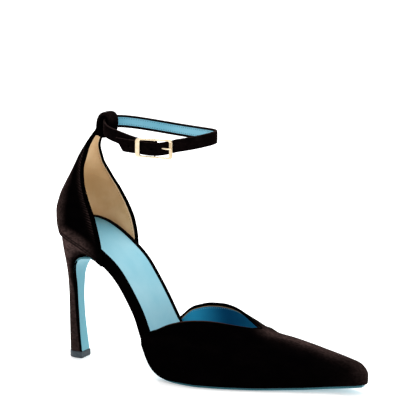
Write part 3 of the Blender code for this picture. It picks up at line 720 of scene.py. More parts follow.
def addStitches(name, lines, thread, look):
    verts, edges = [], []
    for line in lines:
        first = len(verts)
        verts += [tuple((np.array(point) + datum) * mm) for point in line]
        edges += [(i, i + 1) for i in range(first, len(verts) - 1)]
    mesh = bpy.data.meshes.new(name)
    mesh.from_pydata(verts, edges, [])
    guide = addObject(name + "Guide", mesh)
    modifier = guide.modifiers.new("sewn", "NODES")
    modifier.node_group = sewnLine
    values = {size.capitalize(): look[size] * mm for size in look}
    values["Thread"] = finishes[thread]
    for item in sewnLine.interface.items_tree:
        if item.in_out == "INPUT" and item.name in values:
            modifier[item.identifier] = values[item.name]
    sewn = evaluatedMesh(guide)
    bpy.data.objects.remove(guide)
    sewn.name = name
    placeMesh(name, sewn, thread)


# layers under the foot
def slabRings(stations, half, top, bottom, edge, spread=None):
    # rings across a flat layer whose sides are rounded, and how far down each point of a ring is
    if spread is None:
        spread = np.linspace(-1, 1, layerSet["across"])
    spread = np.broadcast_to(spread, (len(stations), np.shape(spread)[-1]))
    turns, power = layerSet["sideTurns"], layerSet["sidePower"]
    turn = np.linspace(0, math.pi, turns + 2)[1:-1]
    swell = roundedPower(np.sin(turn), power)
    depth = (1 - roundedPower(np.cos(turn), power)) / 2
    flat = np.zeros(spread.shape[1])
    side = np.ones((len(stations), turns))
    reach = np.concatenate((spread, side, spread[:, ::-1], -side), axis=1)
    tuck = np.concatenate((flat + 1, 1 - swell, flat + 1, 1 - swell[::-1]))
    share = np.concatenate((flat, depth, flat + 1, depth[::-1]))
    inset = np.minimum(edge, 0.5 * half)
    y = bed.middle(stations)[:, None] + reach * (half[:, None] - inset[:, None] * tuck)
    x = blend(top[0][:, None], bottom[0][:, None], share)
    z = blend(top[1][:, None], bottom[1][:, None], share)
    return np.stack((x, y, z), axis=2), share


def paintSides(bm, rings, share):
    # cut edge: all but the two flat faces
    low, high = layerSet["cutEdge"]
    paintRings(bm, "edge", np.tile((share > low) & (share < high), len(rings)))


boardSet = {"edge": 0.7, "rimRise": 0.4, "rimStep": 0.3}
sockSet = {
    "edge": 0.35, "inset": 0.5, "margin": 4.4, "seatMargin": 4.8, "ends": (22.0, 35.5), "ease": 4.0,
    "seatShade": (62.0, 50.0),
}
soleSet = {
    "edge": 0.5, "insetTread": 0.6, "insetShank": 4.0,
    "shankEnd": 21.5, "shankFront": 34.0, "treadBack": 50.0,      # percent of the length
    "flap": 1.3, "flapEdge": 0.4, "flapRows": 46,
}
breastShadeSet = {
    # across the dark velvet strip that stands in for the shade beside the heel's breast, shaped as the cover
    # turned over the flap: outwards from the flap's edge, and off its face
    "path": ((0.20, -1.0), (0.22, -0.3), (0.05, 0.10), (-0.4, 0.16), (-1.0, 0.16), (-1.5, 0.14),
             (-1.7, 0.02)),
    "thick": 0.12, "roll": 0.5, "top": 76.0, "topOver": 18.0, "foot": 0.15, "footTop": 12.0, "footOver": 22.0,
}


def sockMargin(x):
    # velvet of the board that shows beside the sock
    seatEnd, shankEnd = sockSet["ends"]
    shank = ramp(bed.share(x), seatEnd, sockSet["ease"])
    front = ramp(bed.share(x), shankEnd, sockSet["ease"])
    return blend(blend(sockSet["seatMargin"], sockSet["margin"], shank), sockSet["inset"], front)


def makeBoard():
    x = bed.layerStations(bed.back, shoe["length"] - shoe["boardToe"])
    half = np.maximum(bed.halfWidth(x), layerSet["leastHalf"])
    sunk = np.full_like(x, shoe["sock"] + shoe["gap"])
    # the velvet is raised around the sock, up to where the vamp begins
    rim = blend(-boardSet["rimRise"], sunk, ramp(bed.share(x), sockSet["ends"][1], sockSet["ease"]))
    flat = half - np.minimum(boardSet["edge"], 0.5 * half)
    inner = np.clip(half - sockMargin(x), 0.05, flat - 0.1)
    crest = np.minimum(inner + boardSet["rimStep"], flat - 0.02)
    steps = np.stack((flat, crest, inner, 0.6 * inner, 0.2 * inner), axis=1) / flat[:, None]
    spread = np.concatenate((-steps, steps[:, ::-1]), axis=1)
    top, bottom = bed.under(x, rim), bed.under(x, bed.boardBottom(x))
    rings, _ = slabRings(x, half, top, bottom, boardSet["edge"], spread)
    sunkRows = x > bed.back + sockSet["seatMargin"]
    sunkPoints = slice(2, 8)      # those of each ring between the two crests
    lowX, lowZ = bed.under(x, sunk)
    rings[sunkRows, sunkPoints, 0] = lowX[sunkRows, None]
    rings[sunkRows, sunkPoints, 2] = lowZ[sunkRows, None]
    addPiece("boardVelvet", loftBody(rings), "velvet", ["insole_board"])


def makeSock():
    x = bed.layerStations(bed.back + sockSet["seatMargin"], shoe["length"] - shoe["sockToe"])
    half = np.maximum(bed.halfWidth(x) - sockMargin(x), layerSet["leastHalf"])
    top, bottom = bed.under(x, np.zeros_like(x)), bed.under(x, np.full_like(x, shoe["sock"]))
    rings, share = slabRings(x, half, top, bottom, sockSet["edge"])
    bm = loftBody(rings)
    paintSides(bm, rings, share)
    paint(bm, "deep", lambda spot: fall(spot.x, *sockSet["seatShade"]))
    addPiece("blueSock", bm, "sock", ["insole_sock"])


def flapRows():
    # half width, top and bottom of the flap, from the shank down the breast
    curves = {column: tableCurve(flapTable, column) for column in flapTable["columns"]}
    last, step = len(flapTable["rows"]) - 1, 0.05
    row = np.linspace(0, last, soleSet["flapRows"])
    ahead, behind = np.minimum(row + step, last), np.maximum(row - step, 0)
    tx, tz = curves["x"](ahead) - curves["x"](behind), curves["z"](ahead) - curves["z"](behind)
    size = np.hypot(tx, tz)
    thick = blend(shoe["soleShank"], soleSet["flap"], row / last)
    bottom = curves["x"](row), curves["z"](row)
    top = bottom[0] + thick * tz / size, bottom[1] - thick * tx / size
    return curves["half"](row), top, bottom


def makeSole():
    look = soleSet
    end = look["shankEnd"] / 100 * shoe["length"]
    x = bed.layerStations(bed.back, shoe["length"] - shoe["soleToe"])
    x = x[x > end][::-1]
    shank = 1 - ramp(bed.share(x), look["shankFront"], look["treadBack"] - look["shankFront"])
    inset = blend(look["insetTread"], look["insetShank"], shank)
    half = np.maximum(bed.halfWidth(x) - inset, layerSet["leastHalf"])
    depth = bed.boardBottom(x) + shoe["gap"]
    top = bed.under(x, depth)
    bottom = bed.under(x, depth + blend(shoe["soleTread"], shoe["soleShank"], shank))
    rings, share = slabRings(x, half, top, bottom, look["edge"])
    flapHalf, flapTop, flapBottom = flapRows()
    flap, _ = slabRings(np.zeros_like(flapHalf), flapHalf, flapTop, flapBottom, look["flapEdge"])
    flap[:, :, 1] -= bed.middle(np.zeros(1))
    rings = np.concatenate((rings, flap))
    bm = loftBody(rings)
    paintSides(bm, rings, share)
    addPiece("blueSole", bm, "sole", ["outsole"])


def makeBreastShadeStrip():
    # painted shade: a thin dark velvet strip over the outer edge of the flap, shaped as the heel's cover
    # turned over it, where the heel's breast is in shade
    look = breastShadeSet
    half, top, bottom = [np.transpose(rows) for rows in flapRows()]
    kept = bottom[:, 1] < look["top"]
    half, top, bottom = half[kept, None], top[kept], bottom[kept]
    out, height = unit(bottom - top), bottom[:, 1:]
    path = np.array(look["path"])
    side = bottom[:, None] + out[:, None] * path[:, 1:]
    widening = fall(height, look["top"], look["topOver"])
    widening = widening * blend(look["foot"], 1.0, ramp(height, look["footTop"], look["footOver"]))
    y = -half - np.where(path[:, 0] < 0, path[:, 0] * widening, path[:, 0])
    points = np.stack((side[..., 0], y, side[..., 1]), axis=2)
    bm = roundedWall([(points, False)], look["thick"], look["roll"])
    addPiece("breastShadeStrip", bm, "velvet")


# heel
heelSet = {
    "round": 0.62, "points": 22, "breastPoints": 6, "levels": 90,
    # painted sheen at the foot and at the top, painted shade beside the breast, and how dark the seam is
    "napAndSheen": (0.44, 0.92), "sheenRise": (32.0, 40.0), "wing": (34.0, 14.0),
    "breastShadeShare": 0.92, "seamDark": 0.9, "seam": (0.3, 0.2),
    # where the painted shade beside the breast starts, as a share of the level, at some heights
    "breastHeights": (40.0, 50.0, 62.0, 80.0), "breastStarts": (1.05, 0.80, 0.46, 0.66), "breastOver": 0.35,
}
topPieceSet = {
    "heights": (0.0, 0.25, 0.8, 2.0, 3.4, 4.4, 4.8, 5.0),
    "lips": (0.0, 0.26, 0.4, 0.4, 0.4, 0.4, 0.3, 0.08),
}


def levelPoints(level, share, roundLength):
    # share is 0 at the back of a level and 1 at its front edge
    columns = {name: np.asarray(values, float)[:, None] for name, values in level.items()}
    runX, runZ = columns["frontX"] - columns["backX"], columns["frontZ"] - columns["backZ"]
    size = np.hypot(runX, runZ)
    turn = np.minimum(roundLength / size, 1.0)
    arc = 0.25 * math.pi * (turn * size + columns["widest"])
    split = arc / (arc + (1 - turn) * size)
    angle = 0.5 * math.pi * np.minimum(share / split, 1.0)
    straight = np.clip((share - split) / np.maximum(1 - split, 1e-6), 0, 1)
    behind = share <= split
    t = np.where(behind, turn * (1 - np.cos(angle)), blend(turn, 1.0, straight))
    flat = blend(columns["widest"], columns["frontWidth"], ease(straight))
    reach = np.where(behind, columns["widest"] * np.sin(angle), flat)
    z = columns["backZ"] + runZ * t + columns["sag"] * 4 * t * (1 - t)
    return columns["backX"] + runX * t, reach, z


def heelRings(level, lip=0.0):
    # closed rings with a flat breast, set out by a lip
    share = np.linspace(0, 1, heelSet["points"])
    size = np.hypot(level["frontX"] - level["backX"], level["frontZ"] - level["backZ"])
    x, y, z = levelPoints(level, share, heelSet["round"] * size[:, None])
    middle = (level["backX"] + level["frontX"])[:, None] / 2
    lip = np.reshape(lip, (-1, 1))
    half = np.stack((x + np.sign(x - middle) * lip, y + np.where(y > 0, lip, 0.0), z), axis=2)
    breast = np.linspace(1, -1, heelSet["breastPoints"] + 2)[1:-1]
    ones = np.ones_like(breast)
    across = half[:, -1:, :] * np.stack((ones, breast, ones), axis=1)
    return np.concatenate((half, across, half[:, :0:-1] * np.array((1, -1, 1))), axis=1)


def heelSheenAndShade(rings, level, rows):
    # painted sheen, paler at the top and back; painted shade beside the breast; dark in the seam under the
    # counter
    look = heelSet
    napAndSheen = blend(*look["napAndSheen"], ramp(rings[..., 2], *look["sheenRise"]))
    size = level["frontX"] - level["backX"]
    along = (rings[..., 0] - level["backX"][:, None]) / size[:, None]
    start = np.interp(rings[..., 2], look["breastHeights"], look["breastStarts"])
    breast = look["breastShadeShare"] * ramp(along, start, look["breastOver"])
    below, over = look["seam"]
    seam = look["seamDark"] * ramp(rows, rows[-1] - below, over)[:, None]
    return napAndSheen * (1 - breast) * (1 - seam) * (1 - ramp(rings[..., 0], *look["wing"]))


def makeHeel():
    level, rows = tableLevels(heelTable, heelSet["levels"])
    rings = heelRings(level)
    bm = loftBody(rings)
    paintRings(bm, "napAndSheen", heelSheenAndShade(rings, level, rows))
    addPiece("heelVelvet", bm, "velvet", ["heel"])


def makeTopPiece():
    heights = np.array(topPieceSet["heights"])
    lowest = zip(levelColumns, heelTable["rows"][0])
    level = {name: np.full_like(heights, value) for name, value in lowest}
    level["frontX"][:] = flapTable["rows"][-1][0]
    level["backZ"], level["frontZ"] = heights, heights
    bm = loftBody(heelRings(level, topPieceSet["lips"]))
    addPiece("topPiece", bm, "rubber", ["top_piece"])


# vamp
vampSet = {
    "wall": 1.6, "wallRoll": 0.35, "archPower": 2.2, "bulge": 3.0, "tipHeight": 6.0,
    "columns": 46, "rowsBehind": 74, "rowsFront": 76, "fine": 220,
    "bindingOut": 1.7, "bindingIn": 1.7, "bindingThick": 0.2, "rolls": (0.9, 0.3),
    "crestSheenStart": (92.0, 24.0), "crestSheenPoints": (5, 6, 7),     # of a binding's ring; a painted sheen line along its crest
    "liningTrim": 2.0, "liningFoot": 0.6, "liningLeast": 6.0, "liningThick": 0.5, "liningRoll": 0.5,
    "tapeRadius": 0.34, "tapeSides": 10,
    "sewnDown": 3.3, "stitch": {"pitch": 1.9, "length": 0.62, "thickness": 0.24},
    "shade": (92.0, 126.0, 34.0), "relit": 0.55,
}
vampSheenSet = {
    "ridge": 0.52, "ridgeShift": 1.5, "ridgeWidth": 7.0, "ridgeBehind": (14.0, 22.0),
    "fade": 0.35, "fadeBehind": (24.0, 16.0), "tip": 0.10, "tipBehind": (12.0, 12.0), "tipRise": (8.0, 8.0),
}

# soft folds, one by one: side, where each starts and ends (millimetres along, share up the wall), width,
# depth
vampFolds = (
    (-1, (112.0, 0.62), (150.0, 0.80), 5.0, 0.45),
    (-1, (96.0, 0.45), (120.0, 0.30), 6.0, 0.40),
    (-1, (172.0, 0.78), (198.0, 0.62), 4.5, 0.30),
    (-1, (206.0, 0.30), (238.0, 0.42), 4.0, 0.25),
    (1, (112.0, 0.60), (148.0, 0.82), 5.0, 0.45),
    (1, (172.0, 0.74), (198.0, 0.60), 4.5, 0.30),
    (1, (96.0, 0.45), (122.0, 0.32), 6.0, 0.40),
)


throat = shoe["throatAlong"] / 100 * shoe["length"]


def vampStations():
    back = vampTable["rows"][0][0] / 100 * shoe["length"]
    behind = back + (throat - back) * np.sin(np.linspace(0, math.pi / 2, vampSet["rowsBehind"]))
    front = throat + (shoe["length"] - throat) * np.sin(np.linspace(0, math.pi / 2, vampSet["rowsFront"]))
    return np.concatenate((behind, front[1:]))


def vampSurface(side, x):
    curves = {name: tableCurve(vampTable, name, "along")(bed.share(x)) for name in vampTable["columns"][1:]}
    name = "Lateral" if side < 0 else "Medial"
    front = x > throat - nearly
    crown = np.where(front, (curves["crownLateral"] + curves["crownMedial"]) / 2, curves["crown" + name])
    crown = crown * shoe["throatHeight"] / 100
    cut = np.where(front, 1.0, curves["cut" + name])
    foot, tip = bed.lowerEdge(x), bed.toeRound(x)
    crown = np.where(tip < 1, blend(foot + vampSet["tipHeight"], crown, tip), crown)
    half = bed.halfWidth(bed.stationOf(x)) + (shoe["gap"] + vampSet["wall"]) * np.minimum(1.0, 2 * tip)
    half = np.where(x > shoe["length"] - nearly, 0.0, half)
    angle = np.linspace(0, 1, vampSet["fine"]) * cut[:, None] * math.pi / 2
    reach = half[:, None] * roundedPower(np.cos(angle), vampSet["archPower"])
    reach = reach + vampSet["bulge"] * np.sin(2 * angle) * tip[:, None]
    reach = np.where(angle > math.pi / 2 - 1e-6, 0.0, reach)
    height = (crown - foot)[:, None] * roundedPower(np.sin(angle), vampSet["archPower"])
    y = bed.middle(x)[:, None] + side * reach
    return np.stack(np.broadcast_arrays(x[:, None], y, foot[:, None] + height), axis=2)


def foldDepth(points, side):
    # how far the listed folds press the wall in
    depth = np.zeros(points.shape[:2])
    rows = points[:, 0, 0]
    for foldSide, start, end, width, press in vampFolds:
        if foldSide != side:
            continue
        ends = []
        for along, up in (start, end):
            row = points[np.argmin(np.abs(rows - along))]
            ends.append(row[int(up * (len(row) - 1))])
        line = ends[1] - ends[0]
        t = np.clip(((points - ends[0]) @ line) / (line @ line), 0, 1)
        away = np.linalg.norm(points - ends[0] - t[..., None] * line, axis=2)
        along = 0.35 + 0.65 * np.sin(math.pi * np.clip(t, 0.02, 0.98))      # softer at its ends
        depth += press * along * np.exp(-(away / width) ** 2)
    return depth


def edgeStrip(points, normals, edgeFirst, look, inside, roll):
    # folded binding over the edge of a wall: a closed ring for each row of the grid
    wall, out, thick = look["wall"], look["bindingOut"], look["bindingThick"]
    if edgeFirst:
        points, normals = points[:, ::-1], normals[:, ::-1]
    lengths = rowLengths(points)
    reach = lengths[:, -1]
    room = np.minimum(1.0, 0.8 * reach / max(out, np.max(inside)))

    def at(down):
        wanted = (reach - down * room)[:, None]
        return alongRows(points, lengths, wanted)[:, 0], unit(alongRows(normals, lengths, wanted)[:, 0])

    rim, face = at(0.0)
    away = unit(rim - at(meshSet["rimBack"])[0])
    away = unit(away - face * np.sum(away * face, axis=1, keepdims=True))
    ring = []
    # down the outer face, round the edge, down the inner face and back through the wall
    for share, lift in ((1.0, 0.04), (0.94, 0.85), (0.66, 1.0), (0.33, 1.0), (0.0, 1.0)):
        spot, normal = at(out * share)
        ring.append(spot + normal * thick * lift)
    for turn in np.radians((36, 72, 108, 144)):
        radius = wall / 2 + thick
        ring.append(rim - face * wall / 2 + face * radius * np.cos(turn) + away * roll * np.sin(turn))
    for share, lift in ((0.0, 1.0), (0.4, 1.0), (0.9, 0.9), (1.0, 0.04)):
        spot, normal = at(inside * share)
        ring.append(spot - normal * (wall + thick * lift))
    for share, deep in ((0.9, wall * 0.8), (0.2, wall * 0.55), (0.9, wall * 0.15)):
        spot, normal = at((inside if deep > wall / 2 else out) * share)
        ring.append(spot - normal * deep)
    return np.stack(ring, axis=1)


def makeVamp():
    look = vampSet
    x = vampStations()
    onRim, closed = x <= throat + nearly, x > throat - nearly
    walls, linings, sewn = [], [], []
    for side, name, roll in zip((-1, 1), ("Outer", "Inner"), look["rolls"]):
        points = evenRows(vampSurface(side, x), 0.0, 0.0, look["columns"])
        normals = gridNormals(points) * side
        points = points - normals * foldDepth(points, side)[..., None]
        points[closed, -1, 1] = bed.middle(x[closed])
        points[-1, :, 1] = bed.middle(x[-1:])
        walls.append((points, side < 0))
        rings = edgeStrip(points[onRim], normals[onRim], False, look, look["bindingIn"], roll)
        bm = loftBody(rings)
        if side < 0:
            # painted sheen: a brown line along the crest of the outer binding, growing towards the front
            crest = np.isin(np.arange(rings.shape[1]), look["crestSheenPoints"])
            paintRings(bm, "crest", crest * ramp(rings[..., 0], *look["crestSheenStart"]))
        addPiece("vampBinding" + name, bm, "binding")

        inside = points - normals * look["wall"]
        kept = (rowLengths(inside)[:, -1] > look["liningLeast"]) & (x < shoe["length"] - look["liningLeast"])
        ahead = np.clip((x[kept] - throat) / look["liningTrim"], 0, 1)
        trim = look["liningTrim"] * np.sqrt(1 - ahead**2)
        lining = evenRows(inside[kept], look["liningFoot"], trim, look["columns"])
        joined = ahead == 1
        lining[joined, -1, 1] = bed.middle(x[kept][joined])
        linings.append((lining, side > 0))
        rim, facing = inside[kept & onRim], normals[kept & onRim, -1]
        tape = belowRim(rim, look["liningTrim"]) - facing * look["liningThick"] / 2
        bm = loftBody(roundTube(tape, [look["tapeRadius"]] * len(tape), look["tapeSides"]))
        addPiece("vampTape%d" % (len(sewn) + 1), bm, "tanThread")
        sewn.append(belowRim(rim, look["sewnDown"]) - facing * (look["liningThick"] + threadLift))
    bm = roundedWall(walls, look["wall"], look["wallRoll"])
    paint(bm, "napAndSheen", vampSheen)
    addPiece("vampVelvet", bm, "velvet", ["vamp"])
    bm = roundedWall(linings, -look["liningThick"], look["liningRoll"])
    paint(bm, "deep", liningShade)
    addPiece("vampLining", bm, "lining")
    addStitches("vampStitches", sewn, "skyThread", look["stitch"])


def belowRim(rows, down):
    return evenRows(rows, down, down, 2)[:, -1]


def liningShade(spot):
    # deepest in the middle, lit again under the point of the V
    start, end, over = vampSet["shade"]
    return ramp(spot.x, start, over) * (1 - vampSet["relit"] * ramp(spot.x, end, over))


def vampSheen(spot):
    # painted sheen along the ridge in front of the throat, and a little at the tip
    look = vampSheenSet
    beforeThroat, beforeTip = throat - spot.x, shoe["length"] - spot.x
    middle = float(bed.middle(np.array([spot.x]))[0])
    ridge = look["ridge"] * math.exp(-((spot.y - middle - look["ridgeShift"]) / look["ridgeWidth"]) ** 2)
    ridge = ridge * fall(beforeThroat, *look["ridgeBehind"])
    fade = look["fade"] * fall(beforeTip, *look["fadeBehind"])
    tip = look["tip"] * fall(beforeTip, *look["tipBehind"])
    return ridge * (1 - fade) + tip * ramp(spot.z, *look["tipRise"])


# counter, its stem and the folded loop
counterSet = {
    "wall": 1.8, "wallRoll": 0.3, "wallPower": 5.0, "round": 25.0,
    "columns": 150, "rows": 190, "loopRows": 64, "fine": 401,
    "bindingOut": 3.3, "bindingNear": 0.2, "bindingFar": (2.2, 0.3), "bindingFarRise": (110.0, 45.0),
    "bindingThick": 0.2, "bindingFoot": 1.0, "roll": 0.35,
    "liningNear": 0.7, "liningFoot": 2, "liningThick": 0.5, "liningRoll": 0.4, "stemTop": 170.0,
    "pale": 0.6, "paleEdge": 1.8, "darkSpot": (17.0, 132.0, 14.0), "darkSpotShare": 0.75,
    "puckerPitch": 2.0, "puckerDrift": (1.7, 9.0), "puckerDepth": 0.20, "puckerReach": 3.6, "puckerHighlight": 0.7,
    "puckerTuck": (0.4, 0.6), "puckerStart": (12.0, 20.0), "puckerEnd": (92.0, 18.0),
    "sewnDown": 2.6, "sewnFoot": 4, "stitch": {"pitch": 2.3, "length": 0.85, "thickness": 0.17},
}
counterSheenSet = {
    "back": 0.58, "backTo": (24.0, 14.0), "backTop": (172.0, 30.0),
    "loop": 0.10, "loopRise": (177.0, 7.0), "low": 0.62, "lowRise": (2.5, 10.0), "wing": (34.0, 16.0),
    "seamDark": 0.92, "seamLines": ((0.3, 0.5), (2.3, 0.5)),      # height over the seam, and width
}
loopSet = {
    "centre": (42.2, 177.6), "depth": 4.4, "height": 7.8, "power": 2.3, "lean": 8.0, "width": 5.3,
    "start": -18.0, "end": 292.0, "flat": 0.3,
    "foldSteps": (0.15, 1.2), "foldWidths": (5.0, 4.6), "foldEnds": (14.0, 34.0), "foldStart": 6.0,
    "foldWall": 0.95, "foldRoll": 0.45, "foldRows": 70, "foldColumns": 16,
}


def loopPath(degrees, step=0.0):
    angle, lean = np.radians(degrees), math.radians(loopSet["lean"])
    away = -(loopSet["depth"] - step) * roundedPower(np.cos(angle), loopSet["power"])
    up = (loopSet["height"] - step) * roundedPower(np.sin(angle), loopSet["power"])
    x = loopSet["centre"][0] + away * math.cos(lean) + up * math.sin(lean)
    return x, loopSet["centre"][1] - away * math.sin(lean) + up * math.cos(lean)


def counterLevels():
    level, _ = tableLevels(counterTable, counterSet["rows"])
    degrees = np.linspace(loopSet["start"], loopSet["end"], counterSet["loopRows"])
    x, z = loopPath(degrees)
    angle, width = np.radians(degrees), np.full_like(x, loopSet["width"])
    loop = dict(backX=x, backZ=z, frontX=x + loopSet["flat"] * np.cos(angle),
                frontZ=z - loopSet["flat"] * np.sin(angle), sag=0 * x, widest=width, frontWidth=width)
    return {name: np.concatenate((level[name], loop[name])) for name in levelColumns}


def counterSurface():
    share = np.linspace(-1, 1, counterSet["fine"])
    x, reach, z = levelPoints(counterLevels(), np.abs(share), counterSet["round"])
    return np.stack((x, reach * np.sign(share), z), axis=2)


def counterPuckers(down, edgeRun):
    # small pleats under the folded edge, deepest beside it
    look = counterSet
    tuck, hidden = look["puckerTuck"]
    swing, drift = look["puckerDrift"]
    below = np.maximum(down - look["bindingOut"] + tuck, 0.0)
    wave = np.sin(2 * math.pi * edgeRun / look["puckerPitch"] + swing * np.sin(edgeRun / drift))
    wave = wave * ramp(edgeRun, *look["puckerStart"]) * (1 - ramp(edgeRun, *look["puckerEnd"]))
    pucker = wave[:, None] * np.exp(-(below / look["puckerReach"]) ** 2)
    return pucker * (down > look["bindingOut"] - hidden)


def makeCounter():
    look = counterSet
    lined = evenRows(counterSurface(), 0.0, 0.0, look["columns"])
    normals = -gridNormals(lined)
    points = lined + normals * look["wall"]
    lengths = rowLengths(points)
    edgeRun = rowLengths(points[None, :, 0])[0]
    inBody = np.arange(len(points)) < look["rows"]
    pucker = counterPuckers(np.minimum(lengths, lengths[:, -1:] - lengths), edgeRun) * inBody[:, None]
    points = points + normals * (look["puckerDepth"] * pucker)[..., None]
    bm = roundedWall([(points, True)], look["wall"], look["wallRoll"], look["wallPower"])
    paint(bm, "napAndSheen", counterSheenAndSeam)
    # painted highlight: brown on the crests of the puckers
    paintRings(bm, "napAndSheen", look["puckerHighlight"] * np.maximum(pucker, 0.0))
    addPiece("counterVelvet", bm, "velvet", ["counter"])

    # the folded edges start a little above the board
    body = inBody & (edgeRun > look["bindingFoot"])
    centre = look["columns"] // 2
    far = blend(*look["bindingFar"], ramp(points[:, 0, 2], *look["bindingFarRise"]))
    for name, columns, first, fold in (("counterBindingOuter", slice(0, centre), True, look["bindingNear"]),
                                       ("counterBindingInner", slice(centre, None), False, far[body])):
        rings = edgeStrip(points[body, columns], normals[body, columns], first, look, fold, look["roll"])
        addPiece(name, loftBody(rings), "binding")
    kept = inBody & (points[:, centre, 2] < look["stemTop"])
    makeCounterLining(points[kept] - normals[kept] * look["wall"], normals[kept], far[kept])


def makeCounterLining(inside, normals, far):
    look = counterSet
    near = look["liningNear"]
    lining = evenRows(inside, near, np.maximum(far, near), look["columns"])[look["liningFoot"]:]
    bm = roundedWall([(lining, False)], -look["liningThick"], look["liningRoll"])
    paint(bm, "deep", counterDarkSpot)
    run = rowLengths(lining)
    pale = look["pale"] * (1 - ease(np.minimum(run, run[:, -1:] - run) / look["paleEdge"]))
    paintRings(bm, "edge", (pale, pale))
    addPiece("counterLining", bm, "tan")
    rows = evenRows(inside, look["sewnDown"], look["sewnDown"] + far / 2, 3)
    lines = rows[:, (0, -1)] - normals[:, (0, -1)] * (look["liningThick"] + threadLift)
    sewn = [lines[look["sewnFoot"]:, edge] for edge in (0, 1)]
    addStitches("counterStitches", sewn, "tanThread", look["stitch"])


# darker tan round one spot of the lining
def counterDarkSpot(spot):
    x, z, size = counterSet["darkSpot"]
    return counterSet["darkSpotShare"] * math.exp(-((spot.x - x) ** 2 + (spot.z - z) ** 2) / size**2)


def makeLoopFold():
    # further layers of the strip inside the loop, around the strap
    look = loopSet
    for turn, (step, width, end) in enumerate(zip(look["foldSteps"], look["foldWidths"], look["foldEnds"])):
        degrees = np.linspace(look["start"] - look["foldStart"], look["end"] - end, look["foldRows"])
        x, z = loopPath(degrees, step)
        y = np.linspace(-1, 1, look["foldColumns"]) * width
        points = np.stack(np.broadcast_arrays(x[:, None], y, z[:, None]), axis=2)
        bm = roundedWall([(points, True)], look["foldWall"], look["foldRoll"])
        addPiece("loopFold%d" % (turn + 1), bm, "velvet")


def counterSheenAndSeam(spot):
    # painted sheen along the back, over the loop and above the seam, which is a double dark line
    look = counterSheenSet
    back = look["back"] * fall(spot.x, *look["backTo"]) * fall(spot.z, *look["backTop"])
    loop = look["loop"] * ramp(spot.z, *look["loopRise"])
    above = spot.z - seamHeight(spot.x)
    low = look["low"] * (1 - ramp(above, *look["lowRise"])) * (1 - ramp(spot.x, *look["wing"]))
    dark = max(math.exp(-((above - middle) / width) ** 2) for middle, width in look["seamLines"])
    return max(back, loop, low) * (1 - look["seamDark"] * dark)


def seamHeight(x):
    backX, backZ, frontX, frontZ, sag = counterTable["rows"][0][:5]
    t = np.clip((x - backX) / (frontX - backX), 0, 1)
    return blend(backZ, frontZ, t) + 4 * sag * t * (1 - t)


# strap
strapSet = {
    "thick": 1.8, "width": 9.4, "corner": 0.75, "crown": 0.12, "slant": 4.1, "slantReach": 6.0,
    "ramp": (300.2, 289.2), "tail": 245.4, "barClear": 2.0, "rows": (230, 24, 50),
    "dropAngles": (245.4, 268.0, 288.0, 299.0, 308.0), "drops": (4.0, 1.5, 1.5, 1.0, 0.0),
    "holes": (258.2, 270.8, 283.4), "holeRadius": 0.75, "holeSides": 20, "holeClear": 0.2,
    "napAndSheen": (0.045, 0.35),      # painted sheen on the faces and on the rounded edges
    "liningInsets": (2.1, 1.6), "liningThick": 0.3, "liningRoll": 0.4, "liningColumns": 7, "liningRows": 240,
    "liningEnds": (6.0, 1.0), "loopAngle": 180.0, "inLoop": 24.0, "pale": (72.0, 25.0),
    "sewnIn": 0.8, "stitch": {"pitch": 1.7, "length": 0.40, "thickness": 0.26},
}
ringSet = {
    "centre": (85.4, -0.6), "long": 43.6, "wide": 25.0, "egg": 0.22, "height": 173.2, "backLift": 2.4,
    "tilt": 3.1, "saddle": 2.4, "twist": -1.2, "lift": 2.7, "liftAngle": 243.0, "liftSpread": 28.6,
    "buckle": 285.2,
}


def ringPoint(degrees, out=0.0):
    a = np.radians(np.asarray(degrees, float))
    x = ringSet["centre"][0] + ringSet["long"] * np.cos(a)
    y = ringSet["centre"][1] + ringSet["wide"] * np.sin(a) * (1 + ringSet["egg"] * np.cos(a))
    z = ringSet["height"] - ringSet["backLift"] * np.cos(a) + ringSet["tilt"] * np.sin(a)
    z = z + ringSet["saddle"] * np.cos(2 * a) + ringSet["twist"] * np.sin(2 * a)
    fromLift = (np.degrees(a) % 360 - ringSet["liftAngle"]) / ringSet["liftSpread"]
    z = z + ringSet["lift"] * np.exp(-fromLift**2)
    across = ringSet["wide"] * (np.cos(a) + ringSet["egg"] * np.cos(2 * a))
    normal = unit(np.stack((across, ringSet["long"] * np.sin(a), 0 * a), axis=-1))
    return np.stack((x, y, z), axis=-1) + normal * np.asarray(out)[..., None], normal


def tailDrop(degrees):
    # how far the strap hangs below its oval, through the buckle and along the tail
    return np.interp(degrees, strapSet["dropAngles"], strapSet["drops"])


def strapStep(degrees):
    # how far the strap has climbed over the bar
    rampStart, rampEnd = strapSet["ramp"]
    return (strapSet["thick"] + shoe["gap"]) * fall(degrees, rampStart, rampStart - rampEnd)


def strapPath():
    under, climb, tail = strapSet["rows"]
    rampStart, rampEnd = strapSet["ramp"]
    under = np.linspace(ringSet["buckle"] - strapSet["barClear"] + 360, rampStart, under)
    climb = np.linspace(rampStart, rampEnd, climb)[1:]
    tail = np.linspace(rampEnd, strapSet["tail"], tail)[1:]
    return np.concatenate((under, climb, tail))


def strapMiddle(degrees, out):
    middle, normal = ringPoint(degrees, out)
    middle[..., 2] -= tailDrop(degrees)
    return middle, normal


def strapSection():
    # rounded band, slightly crowned on its outer face
    corner, flat = strapSet["corner"], strapSet["thick"] / 2
    inX, inZ = flat - corner, strapSet["width"] / 2 - corner
    arcs = cornerArcs(lambda sx, sz: (sx * inX, sz * inZ), corner, 5)
    inner = [(-flat, z) for z in inZ * np.linspace(1, -1, 6)[1:-1]]
    outer = [(flat + strapSet["crown"], -z) for _, z in inner]
    return np.concatenate((*arcs[:2], inner, *arcs[2:], outer))


